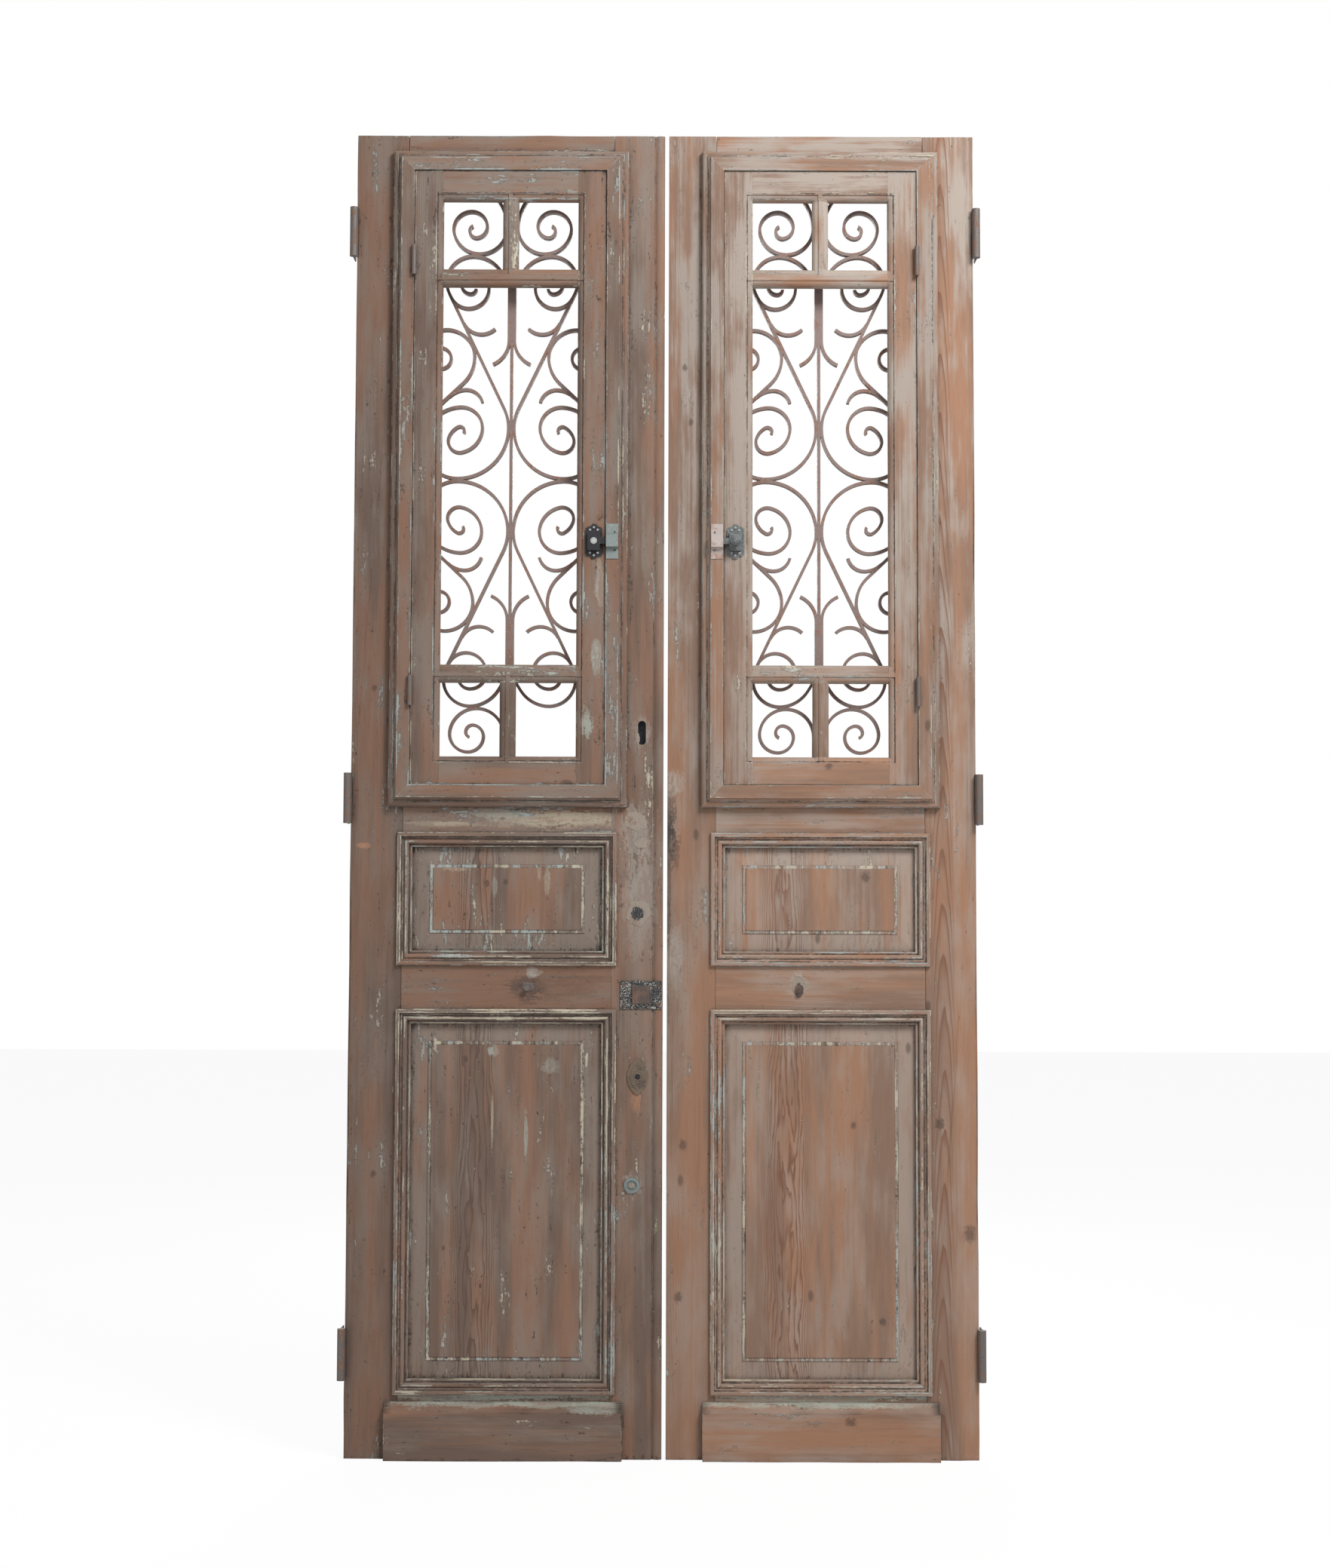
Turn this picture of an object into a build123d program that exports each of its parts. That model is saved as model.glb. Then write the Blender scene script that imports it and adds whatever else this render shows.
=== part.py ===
"""A pair of tall timber entry-door leaves with a hinged window and a scrolled iron grille in each.

Millimetres. +X runs from the left jamb to the right one, +Y goes from the room side outwards and
+Z is up. The origin is the middle of the flat back of the lower left jamb hinge plate.
"""

import os
from dataclasses import dataclass

from build123d import *

os.makedirs("parts", exist_ok=True)

# The two leaves.
LEAF_HEIGHT = 2637
LEAF_THICKNESS = 44
LEFT_WIDTH = 622
RIGHT_WIDTH = 614
MEETING_GAP = 8
MEETING_BEVEL = 2.3

# Heights of the rails and of the panel openings between them, from the bottom up.
BOTTOM_RAIL = 134.5
LARGE_PANEL = 732
LOCK_RAIL = 105.5
SMALL_PANEL = 244
SILL_RAIL = 89.5
TOP_RAIL = 64.5

# The stiles beside the openings.
LEFT_HINGE_STILE = 104
RIGHT_HINGE_STILE = 102
LEFT_LOCK_STILE = 102
RIGHT_LOCK_STILE = 96
MEETING_BEAD = 18
QUIRK = 3

# Joints inside the framing.
TENON_LENGTH = 60
TENON_THICKNESS = 14
TENON_SHOULDER = 14
GROOVE_DEPTH = 9
GROOVE_CLEARANCE = 1

# Raised and fielded panels.
TONGUE_THICKNESS = 12
PANEL_THICKNESS = 26
FIELD_MARGIN = 54
FIELD_BEAD = 6.5
FIELD_STEP = 1.5

# The moulding planted round each panel, lapping the framing.
MOULDING_WIDTH = 29
MOULDING_LAP = 10
MOULDING_PROUD = 8
MOULDING_EDGE = 4
MOULDING_ROUND = 3
MOULDING_CREST = 8
MOULDING_QUIRK = 1.5
MOULDING_COVE_FLOOR = 1
MOULDING_BEAD = 9
MOULDING_BEAD_TOP = 3
MOULDING_FOOT = 6
MOULDING_FOOT_DEPTH = 5

# The casing round the window: a mitred facing in front, a lining and a stop behind.
CASING_SLOPE = 18
CASING_FACE = 26
CASING_PROUD = 28
CASING_EDGE = 8
CASING_BEAD = 9
CASING_FILLET = 2
LINING_THICKNESS = 14.5
STOP_WIDTH = 8

# The hinged sash and its glazing bars.
SASH_CLEARANCE = 1
SASH_THICKNESS = 32
SASH_SETBACK = 4
SASH_STILE = 57
SASH_TOP_RAIL = 60
SASH_BOTTOM_RAIL = 55
SASH_TRANSOM = 36
SASH_MUNTIN = 32
SMALL_PANE_BELOW = 147
SMALL_PANE_ABOVE = 139
SASH_OVOLO = 12
SASH_OVOLO_DEPTH = 10
SASH_QUIRK = 2
REBATE_WIDTH = 8
REBATE_DEPTH = 14

# The iron grille behind the sash.
BAR_WIDTH = 6
BAR_DEPTH = 14
GRILLE_SETBACK = 26
GRILLE_CLEARANCE = 0.3
WELD = 0.5
DRAWN_HALF_WIDTH = 185.2
DRAWN_HALF_HEIGHT = 610.7

# The kick board along the foot of each leaf.
KICK_OVERHANG = 24.5
KICK_PROUD = 18
KICK_FACE = 91
KICK_HEIGHT = 112
KICK_TOP_PROUD = 5

# Lift-off hinges between jamb and leaf.
HINGE_HEIGHTS = (203, 1293, 2436)
JAMB_CLEARANCE = 5
PLATE_THICKNESS = 2.5
PLATE_DEPTH = 30
PLATE_HEIGHT = 100
KNUCKLE_RADIUS = 8
KNUCKLE_CLEARANCE = 0.3
AXIS_FORWARD = 9
PIN_RADIUS = 4.9
BORE_RADIUS = 5
PIN_RISE = 42
BORE_DEPTH = 44
SCREW_RADIUS = 2.75
SCREW_HEAD_RADIUS = 4.4
SCREW_SPACING = 60

# Small hinges of the sash.
SASH_HINGE_HEIGHTS = (1506, 2373)
SASH_KNUCKLE_RADIUS = 4.5
SASH_KNUCKLE_LENGTH = 60
SASH_FLAP_DEPTH = 24
SASH_FLAP_LET_IN = 1

# The sash latch and its keeper.
LATCH_HEIGHT_UP = 1805
LATCH_WIDTH = 34
LATCH_LENGTH = 70
LATCH_PLATE = 2.5
LATCH_CASE_WIDTH = 24
LATCH_CASE_LENGTH = 38
LATCH_CASE_PROUD = 12
LATCH_LOBE_RADIUS = 7
LATCH_SIDE_LOBES_UP = 22.4
SPINDLE_RADIUS = 4.5
BOLT_HEIGHT = 12
BOLT_THICKNESS = 5
BOLT_RISE = 6
KEEPER_WIDTH = 24
KEEPER_LENGTH = 70
KEEPER_THICKNESS = 1.5
KEEPER_ARCH = 30
KEEPER_RAISE = 10
KEEPER_BEND = 3.3
KNOB_RADIUS = 11
KNOB_NECK_RADIUS = 5
KNOB_NECK = 6
KNOB_PROUD = 20
KNOB_SLOPE = 4

# The old lock's holes and plates on the left leaf.
KEYHOLE_UP = 1425
KEYHOLE_IN = 43
KEYHOLE_RADIUS = 8
KEYHOLE_LENGTH = 48
KNOB_PLATE_UP = 905
KNOB_PLATE_WIDTH = 82
KNOB_PLATE_HEIGHT = 55
KNOB_PLATE_THICKNESS = 2.5
KNOB_PLATE_INSET = 2
BOSS_SIDE = 38
BOSS_PROUD = 8
BOSS_CHAMFER = 1.5
ESCUTCHEON_UP = 744
ESCUTCHEON_IN = 49.5
ESCUTCHEON_WIDTH = 40
ESCUTCHEON_HEIGHT = 72
ESCUTCHEON_THICKNESS = 2.5
ESCUTCHEON_INNER_WIDTH = 28
ESCUTCHEON_INNER_HEIGHT = 50
ESCUTCHEON_INNER_THICKNESS = 4
ESCUTCHEON_BORE = 5
CYLINDER_UP = 531.5
CYLINDER_IN = 60
CYLINDER_RADIUS = 15
CYLINDER_PROUD = 4
BARREL_RADIUS = 11
BARREL_CLEARANCE = 0.3
CYLINDER_RECESS = 2

# The strike plate let into the right leaf's meeting edge.
STRIKE_UP = 1508
STRIKE_HEIGHT = 198
STRIKE_DEPTH = 22
STRIKE_THICKNESS = 2
STRIKE_INSET = 8

# Places worked out from the sizes above.
BOTTOM = -HINGE_HEIGHTS[0]
FRONT = -PLATE_DEPTH / 2
BACK = FRONT + LEAF_THICKNESS
MIDDLE = (FRONT + BACK) / 2
PROUD = Vector(0, -1, 0)
DOWN, UPWARD = (0, -1), (0, 1)
LARGE_LOW = BOTTOM_RAIL
LARGE_HIGH = LARGE_LOW + LARGE_PANEL
SMALL_LOW = LARGE_HIGH + LOCK_RAIL
SMALL_HIGH = SMALL_LOW + SMALL_PANEL
WINDOW_LOW = SMALL_HIGH + SILL_RAIL
WINDOW_HIGH = LEAF_HEIGHT - TOP_RAIL
AXIS_Y = FRONT - AXIS_FORWARD
CASING_WIDTH = CASING_SLOPE + CASING_FACE
CASING_LAP = CASING_WIDTH - LINING_THICKNESS
CASING_FRONT = FRONT - CASING_PROUD
SASH_FRONT = CASING_FRONT + SASH_SETBACK
SASH_BACK = SASH_FRONT + SASH_THICKNESS
STOP_FRONT = SASH_BACK + SASH_CLEARANCE


@dataclass
class Leaf:
    """One leaf, measured from its hinged edge towards the meeting edge."""

    side: str
    edge: float
    way: int
    width: float
    hinge_stile: float
    lock_stile: float

    @property
    def opening_end(self):
        """Where the openings end and the lock stile starts, from the hinged edge."""
        return self.width - self.lock_stile

    def at(self, distance):
        return self.edge + self.way * distance

    def span(self, near, far):
        return tuple(sorted((self.at(near), self.at(far))))


LEFT_EDGE = PLATE_THICKNESS + JAMB_CLEARANCE
RIGHT_EDGE = LEFT_EDGE + LEFT_WIDTH + MEETING_GAP + RIGHT_WIDTH
LEFT = Leaf("left", LEFT_EDGE, 1, LEFT_WIDTH, LEFT_HINGE_STILE, LEFT_LOCK_STILE)
RIGHT = Leaf("right", RIGHT_EDGE, -1, RIGHT_WIDTH, RIGHT_HINGE_STILE, RIGHT_LOCK_STILE)
RAILS = {
    "bottom_rail": (0, LARGE_LOW),
    "lock_rail": (LARGE_HIGH, SMALL_LOW),
    "sill_rail": (SMALL_HIGH, WINDOW_LOW),
    "top_rail": (WINDOW_HIGH, LEAF_HEIGHT),
}
PANELS = {"large_panel": (LARGE_LOW, LARGE_HIGH), "small_panel": (SMALL_LOW, SMALL_HIGH)}


def up(low, high):
    """Two heights above the leaf's foot, in the object's frame."""
    return BOTTOM + low, BOTTOM + high


def grown(span, amount):
    return span[0] - amount, span[1] + amount


def block(x, y, z, mode=Mode.ADD):
    """Adds or cuts a rectangular piece between two places along each axis."""
    sizes = [high - low for low, high in (x, y, z)]
    with Locations(tuple((low + high) / 2 for low, high in (x, y, z))):
        Box(*sizes, mode=mode)


def save(piece, name):
    piece.label = name
    export_step(piece, f"parts/{name}.step")


def through(span, thickness):
    """A span of the leaf's thickness, centred in it."""
    return MIDDLE - thickness / 2, MIDDLE + thickness / 2


def cut_joints(leaf, near, far):
    """Cuts the mortises and panel grooves of a stile into its inner edge, near to far."""
    deep = near + (far - near) / abs(far - near) * TENON_LENGTH
    shallow = near + (far - near) / abs(far - near) * GROOVE_DEPTH
    for low, high in RAILS.values():
        mortise = up(low + TENON_SHOULDER, high - TENON_SHOULDER)
        block(leaf.span(near, deep), through(MIDDLE, TENON_THICKNESS), mortise, Mode.SUBTRACT)
    for low, high in PANELS.values():
        groove = grown(up(low, high), GROOVE_DEPTH)
        block(leaf.span(near, shallow), through(MIDDLE, TONGUE_THICKNESS), groove, Mode.SUBTRACT)


def hinge_stile(leaf):
    with BuildPart() as stile:
        block(leaf.span(0, leaf.hinge_stile), (FRONT, BACK), up(0, LEAF_HEIGHT))
        cut_joints(leaf, leaf.hinge_stile, 0)
        for height in HINGE_HEIGHTS:
            recess = up(height - PLATE_HEIGHT / 2, height + PLATE_HEIGHT / 2)
            block(leaf.span(0, PLATE_THICKNESS), (FRONT, FRONT + PLATE_DEPTH), recess, Mode.SUBTRACT)
    return stile.part


def strike_plane(leaf):
    """The plane of the bevelled meeting edge, at the strike plate's middle."""
    lean = Vector(-leaf.way * MEETING_BEVEL, LEAF_THICKNESS, 0).normalized()
    normal = Vector(leaf.way * lean.Y, -leaf.way * lean.X, 0)
    corner = Vector(leaf.at(leaf.width), FRONT, BOTTOM + STRIKE_UP)
    middle = corner + lean * (STRIKE_INSET + STRIKE_DEPTH / 2)
    return Plane(middle, x_dir=lean, z_dir=normal)


def lock_stile(leaf):
    inner, edge = leaf.at(leaf.opening_end), leaf.at(leaf.width)
    bead = leaf.at(leaf.width - MEETING_BEAD)
    with BuildPart() as stile:
        with BuildSketch(Plane.XY.offset(BOTTOM)):
            with BuildLine():
                if leaf is LEFT:
                    quirk = leaf.at(leaf.width - MEETING_BEAD - QUIRK)
                    crest = leaf.at(leaf.width - MEETING_BEAD / 2)
                    Polyline(
                        (inner, FRONT), (quirk, FRONT), (quirk, FRONT + QUIRK), (bead, FRONT + QUIRK)
                    )
                    ThreePointArc((bead, FRONT + QUIRK), (crest, FRONT), (edge, FRONT + QUIRK))
                    start = (edge, FRONT + QUIRK)
                else:
                    Line((inner, FRONT), (edge, FRONT))
                    start = (edge, FRONT)
                foot = (leaf.at(leaf.width - MEETING_BEVEL), BACK)
                Polyline(start, foot, (inner, BACK), (inner, FRONT))
            make_face()
        extrude(amount=LEAF_HEIGHT)
        cut_joints(leaf, leaf.opening_end, leaf.width)
        if leaf is LEFT:
            with BuildSketch(Plane.XZ.offset(-BACK)):
                with Locations((leaf.at(leaf.width - KEYHOLE_IN), BOTTOM + KEYHOLE_UP)):
                    SlotOverall(KEYHOLE_LENGTH, 2 * KEYHOLE_RADIUS, rotation=90)
            extrude(amount=LEAF_THICKNESS, mode=Mode.SUBTRACT)
            with BuildSketch(Plane.XZ.offset(-BACK)):
                with Locations((leaf.at(leaf.width - CYLINDER_IN), BOTTOM + CYLINDER_UP)):
                    Circle(BARREL_RADIUS + BARREL_CLEARANCE)
            extrude(amount=LEAF_THICKNESS, mode=Mode.SUBTRACT)
        else:
            with BuildSketch(strike_plane(leaf)):
                Rectangle(STRIKE_DEPTH, STRIKE_HEIGHT)
            extrude(amount=-STRIKE_THICKNESS, mode=Mode.SUBTRACT)
    return stile.part


def rail(leaf, low, high):
    near, far = leaf.hinge_stile, leaf.opening_end
    with BuildPart() as piece:
        block(leaf.span(near, far), (FRONT, BACK), up(low, high))
        tenons = leaf.span(near - TENON_LENGTH, far + TENON_LENGTH)
        heights = up(low + TENON_SHOULDER, high - TENON_SHOULDER)
        block(tenons, through(MIDDLE, TENON_THICKNESS), heights)
        for panel_low, panel_high in PANELS.values():
            groove = grown(up(panel_low, panel_high), GROOVE_DEPTH)
            block(leaf.span(near, far), through(MIDDLE, TONGUE_THICKNESS), groove, Mode.SUBTRACT)
    return piece.part


def raised_panel(leaf, low, high):
    """A panel that is tongued into the framing and fielded on both faces."""
    x = leaf.span(leaf.hinge_stile, leaf.opening_end)
    z = up(low, high)
    centre = ((x[0] + x[1]) / 2, (z[0] + z[1]) / 2)
    seat = MOULDING_WIDTH - MOULDING_LAP
    tongue = GROOVE_DEPTH - GROOVE_CLEARANCE
    slope = (PANEL_THICKNESS - TONGUE_THICKNESS) / 2 - 2 * FIELD_STEP
    with BuildPart() as panel:
        block(grown(x, tongue), through(MIDDLE, TONGUE_THICKNESS), grown(z, tongue))
        with BuildSketch(Plane.XZ.offset(-MIDDLE + TONGUE_THICKNESS / 2)):
            with Locations(centre):
                Rectangle(x[1] - x[0] - 2 * seat, z[1] - z[0] - 2 * seat)
        with BuildSketch(Plane.XZ.offset(-MIDDLE + TONGUE_THICKNESS / 2 + slope)):
            with Locations(centre):
                Rectangle(x[1] - x[0] - 2 * FIELD_MARGIN, z[1] - z[0] - 2 * FIELD_MARGIN)
        loft(ruled=True)
        ledge = (MIDDLE - PANEL_THICKNESS / 2 + FIELD_STEP, MIDDLE)
        block(grown(x, -FIELD_MARGIN), ledge, grown(z, -FIELD_MARGIN))
        inside = FIELD_MARGIN + FIELD_BEAD
        block(grown(x, -inside), (MIDDLE - PANEL_THICKNESS / 2, MIDDLE), grown(z, -inside))
        mirror(about=Plane.XZ.offset(-MIDDLE))
    return panel.part


def moulding_section():
    """The panel moulding: inward from its outer edge, and forward of the framing."""
    seat = (TONGUE_THICKNESS - LEAF_THICKNESS) / 2
    foot = MOULDING_WIDTH - MOULDING_FOOT
    cove = foot - MOULDING_BEAD
    quirk = MOULDING_PROUD - MOULDING_QUIRK
    hollow = (MOULDING_CREST + cove) / 2 - 1
    with BuildSketch() as section:
        with BuildLine():
            Line((0, 0), (0, MOULDING_EDGE))
            TangentArc(
                (0, MOULDING_EDGE), (MOULDING_ROUND, MOULDING_PROUD), tangent=UPWARD
            )
            Polyline(
                (MOULDING_ROUND, MOULDING_PROUD),
                (MOULDING_CREST, MOULDING_PROUD),
                (MOULDING_CREST, quirk),
            )
            ThreePointArc(
                (MOULDING_CREST, quirk),
                (hollow, (quirk + MOULDING_COVE_FLOOR) / 2 - 1),
                (cove, MOULDING_COVE_FLOOR),
            )
            ThreePointArc(
                (cove, MOULDING_COVE_FLOOR),
                ((cove + foot) / 2, MOULDING_BEAD_TOP),
                (foot, 1 - MOULDING_BEAD_TOP),
            )
            Polyline(
                (foot, 1 - MOULDING_BEAD_TOP),
                (foot, -MOULDING_FOOT_DEPTH),
                (MOULDING_WIDTH, -MOULDING_FOOT_DEPTH),
                (MOULDING_WIDTH, seat),
                (MOULDING_LAP, seat),
                (MOULDING_LAP, 0),
                (0, 0),
            )
        make_face()
    return section.sketch


def casing_section():
    """The casing: inward from its outer edge, and forward of the framing."""
    step = CASING_BEAD + CASING_FILLET
    with BuildSketch() as section:
        with BuildLine():
            Line((0, 0), (0, CASING_EDGE))
            RadiusArc((0, CASING_EDGE), (CASING_BEAD, CASING_EDGE + CASING_BEAD), CASING_BEAD)
            Polyline(
                (CASING_BEAD, CASING_EDGE + CASING_BEAD),
                (step, CASING_EDGE + CASING_BEAD),
                (step, CASING_EDGE + step),
            )
            RadiusArc((step, CASING_EDGE + step), (CASING_SLOPE, CASING_PROUD), -CASING_FACE / 2)
            Polyline(
                (CASING_SLOPE, CASING_PROUD),
                (CASING_WIDTH, CASING_PROUD),
                (CASING_WIDTH, FRONT - STOP_FRONT),
                (CASING_WIDTH + STOP_WIDTH, FRONT - STOP_FRONT),
                (CASING_WIDTH + STOP_WIDTH, -LEAF_THICKNESS),
                (CASING_LAP, -LEAF_THICKNESS),
                (CASING_LAP, 0),
                (0, 0),
            )
        make_face()
    return section.sketch


def ovolo_section():
    """What the router takes off round a pane: inward from its outer edge, behind the front."""
    spare = 1
    with BuildSketch() as section:
        with BuildLine():
            Line((0, spare), (0, -SASH_QUIRK))
            ThreePointArc(
                (0, -SASH_QUIRK),
                (SASH_OVOLO * 0.65, -SASH_QUIRK - SASH_OVOLO_DEPTH * 0.25),
                (SASH_OVOLO, -SASH_OVOLO_DEPTH),
            )
            Polyline(
                (SASH_OVOLO, -SASH_OVOLO_DEPTH),
                (SASH_OVOLO + spare, -SASH_OVOLO_DEPTH),
                (SASH_OVOLO + spare, spare),
                (0, spare),
            )
        make_face()
    return section.sketch


def mitred_bar(section, middle, inward, length):
    """One side of a mitred frame, from the middle of its outer edge."""
    along = inward.cross(PROUD)
    with BuildPart() as bar:
        with BuildSketch(Plane(middle, x_dir=inward, z_dir=along)):
            add(section)
        extrude(amount=length / 2, both=True)
        for end in (along, -along):
            mitre = Plane(middle + end * (length / 2), x_dir=PROUD, z_dir=-(inward + end))
            split(bisect_by=mitre, keep=Keep.TOP)
    return bar.part


def mitred_frame(section, x, y, z):
    """The upright and the level sides of a mitred frame with outer edges x and z, in front of y."""
    centre = Vector((x[0] + x[1]) / 2, y, (z[0] + z[1]) / 2)
    across = Vector((x[1] - x[0]) / 2, 0, 0)
    rise = Vector(0, 0, (z[1] - z[0]) / 2)
    right, above = Vector(1, 0, 0), Vector(0, 0, 1)
    uprights = [
        mitred_bar(section, centre - across, right, 2 * rise.Z),
        mitred_bar(section, centre + across, -right, 2 * rise.Z),
    ]
    levels = [
        mitred_bar(section, centre - rise, above, 2 * across.X),
        mitred_bar(section, centre + rise, -above, 2 * across.X),
    ]
    return uprights, levels


def panel_mouldings(leaf, low, high):
    """The mitred mouldings round a panel, on both faces."""
    x = leaf.span(leaf.hinge_stile, leaf.opening_end)
    uprights, levels = mitred_frame(
        moulding_section(), grown(x, MOULDING_LAP), FRONT, grown(up(low, high), MOULDING_LAP)
    )
    with BuildPart() as rings:
        add(uprights + levels)
        mirror(about=Plane.XZ.offset(-MIDDLE))
    return rings.part


def window_spans(leaf):
    """The window opening in the framing."""
    x = leaf.span(leaf.hinge_stile, leaf.opening_end)
    return x, up(WINDOW_LOW, WINDOW_HIGH)


def sash_hinge_place(leaf):
    """Where the joint between casing and sash is, from the hinged edge."""
    return leaf.hinge_stile + LINING_THICKNESS


def casing(leaf):
    """The stiles and the rails of the casing round the window."""
    x, z = window_spans(leaf)
    uprights, levels = mitred_frame(
        casing_section(), grown(x, CASING_LAP), FRONT, grown(z, CASING_LAP)
    )
    joint = sash_hinge_place(leaf)
    with BuildPart() as stiles:
        add(uprights)
        for height in SASH_HINGE_HEIGHTS:
            let_in = up(height - SASH_KNUCKLE_LENGTH / 2, height + SASH_KNUCKLE_LENGTH / 2)
            depth = (CASING_FRONT, CASING_FRONT + SASH_FLAP_DEPTH)
            block(leaf.span(joint - SASH_FLAP_LET_IN, joint), depth, let_in, Mode.SUBTRACT)
    with BuildPart() as rails:
        add(levels)
    return stiles.part, rails.part


def sash_layout(leaf):
    """The sash's outline, its bars and its panes, as spans in the object's frame."""
    x, z = window_spans(leaf)
    outer_x = grown(x, -LINING_THICKNESS - SASH_CLEARANCE)
    outer_z = grown(z, -LINING_THICKNESS - SASH_CLEARANCE)
    inner_x = grown(outer_x, -SASH_STILE)
    middle = (inner_x[0] + inner_x[1]) / 2
    columns = (
        (inner_x[0], middle - SASH_MUNTIN / 2),
        (middle + SASH_MUNTIN / 2, inner_x[1]),
    )
    foot = outer_z[0] + SASH_BOTTOM_RAIL
    head = outer_z[1] - SASH_TOP_RAIL
    lower = (foot + SMALL_PANE_BELOW, foot + SMALL_PANE_BELOW + SASH_TRANSOM)
    upper = (head - SMALL_PANE_ABOVE - SASH_TRANSOM, head - SMALL_PANE_ABOVE)
    panes = [(inner_x, (lower[1], upper[0]))]
    panes += [(column, (foot, lower[0])) for column in columns]
    panes += [(column, (upper[1], head)) for column in columns]
    return outer_x, outer_z, inner_x, (foot, lower, upper, head), panes


def pane_cutter(x, z):
    """The hole for one pane, with its moulded front edge and its rebate behind."""
    uprights, levels = mitred_frame(
        ovolo_section(), grown(x, SASH_OVOLO), SASH_FRONT, grown(z, SASH_OVOLO)
    )
    spare = 1
    with BuildPart() as cutter:
        block(x, (SASH_FRONT - spare, SASH_BACK + spare), z)
        add(uprights + levels)
        block(
            grown(x, REBATE_WIDTH), (SASH_BACK - REBATE_DEPTH, SASH_BACK + spare), grown(z, REBATE_WIDTH)
        )
    return cutter.part


def sash(leaf):
    """The sash's stiles, rails and bars, moulded round five panes."""
    outer_x, outer_z, inner_x, (foot, lower, upper, head), panes = sash_layout(leaf)
    cutters = [pane_cutter(x, z) for x, z in panes]
    depth = (SASH_FRONT, SASH_BACK)
    middle = (inner_x[0] + inner_x[1]) / 2
    muntin = (middle - SASH_MUNTIN / 2, middle + SASH_MUNTIN / 2)
    joint = sash_hinge_place(leaf) + SASH_CLEARANCE
    with BuildPart() as stiles:
        block((outer_x[0], inner_x[0]), depth, outer_z)
        block((inner_x[1], outer_x[1]), depth, outer_z)
        add(cutters, mode=Mode.SUBTRACT)
        for height in SASH_HINGE_HEIGHTS:
            let_in = up(height - SASH_KNUCKLE_LENGTH / 2, height + SASH_KNUCKLE_LENGTH / 2)
            flap = (CASING_FRONT, CASING_FRONT + SASH_FLAP_DEPTH)
            block(leaf.span(joint, joint + SASH_FLAP_LET_IN), flap, let_in, Mode.SUBTRACT)
    with BuildPart() as rails:
        block(inner_x, depth, (outer_z[0], foot))
        block(inner_x, depth, (head, outer_z[1]))
        add(cutters, mode=Mode.SUBTRACT)
    with BuildPart() as bars:
        block(inner_x, depth, lower)
        block(muntin, depth, (foot, lower[0]))
        block(inner_x, depth, upper)
        block(muntin, depth, (upper[1], head))
        add(cutters, mode=Mode.SUBTRACT)
    return stiles.part, rails.part, bars.part


# One quarter of the grille, as it is drawn: across from the middle bar and up from mid-height.
# A scroll starts at a point with a heading and runs through points as tangent arcs.
BESIDE_MIDDLE = BAR_WIDTH - WELD
SCROLL_AWAY = 2 * BESIDE_MIDDLE
BESIDE_SIDE = DRAWN_HALF_WIDTH - 1.5 * BAR_WIDTH + WELD
SIDE_BAR = DRAWN_HALF_WIDTH - BAR_WIDTH / 2
ACROSS_MIDDLE = BAR_WIDTH / 2 - WELD
END_BAR = DRAWN_HALF_HEIGHT - BAR_WIDTH / 2
DIAGONAL = ((14.8, 146), (127.6, 382))
ALONG_DIAGONAL = (0.432, 0.902)
BACK_DOWN = (-0.432, -0.902)
STAY = ((97, 198), (SIDE_BAR, 117))
SPLIT_HEIGHT = 285
SCROLL_HEIGHT = 518
SPLIT_BAR = ((BESIDE_MIDDLE, SPLIT_HEIGHT), (BESIDE_MIDDLE, END_BAR))
LOW_BAR = ((SCROLL_AWAY, SCROLL_HEIGHT), (SCROLL_AWAY, END_BAR))
TOP_SCROLL = ((SCROLL_AWAY, SCROLL_HEIGHT), DOWN, (
    (71, 463.5), (119, 508), (84, 551), (51.5, 522), (70.5, 497), (87, 512), (80, 521)))
TOP_FLARE = ((SCROLL_AWAY, SCROLL_HEIGHT), UPWARD, ((64, 604),))
BIG_SCROLL = ((BESIDE_MIDDLE, 105), DOWN, (
    (108, ACROSS_MIDDLE), (BESIDE_SIDE, 71), (104, 148.5), (59, 97), (99, 56), (126, 86),
    (108, 107.5), (96, 95)))
DIAGONAL_FOOT = ((BESIDE_MIDDLE, 105), UPWARD, (DIAGONAL[0],))
DIAGONAL_HEAD = (DIAGONAL[1], ALONG_DIAGONAL, ((74, 458.5), (22, 426), (6, 400)))
CROOK = ((123, 373), BACK_DOWN, (
    (86, 351), (47, 390), (80, 424), (103, 400), (85, 381), (73, 391)))
SPUR = ((97, 320), BACK_DOWN, ((64, 298), (34, 309)))
SIDE_SCROLL = ((75, 250), UPWARD, (
    (128, 307), (BESIDE_SIDE, 262), (146, 227), (122.5, 249), (138, 269), (150, 257)))
SIDE_FOOT = ((75, 250), DOWN, (STAY[0],))
TENDRIL = ((126, 169.5), (-0.7, 0.7), ((94, 184), (58.5, 158)))
SPLIT_FLARE = ((BESIDE_MIDDLE, SPLIT_HEIGHT), DOWN, ((38, 236),))
SCROLLS = (
    BIG_SCROLL, DIAGONAL_FOOT, DIAGONAL_HEAD, CROOK, SPUR,
    SIDE_SCROLL, SIDE_FOOT, TENDRIL, SPLIT_FLARE,
)
STRAIGHTS = (DIAGONAL, STAY, SPLIT_BAR)


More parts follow.
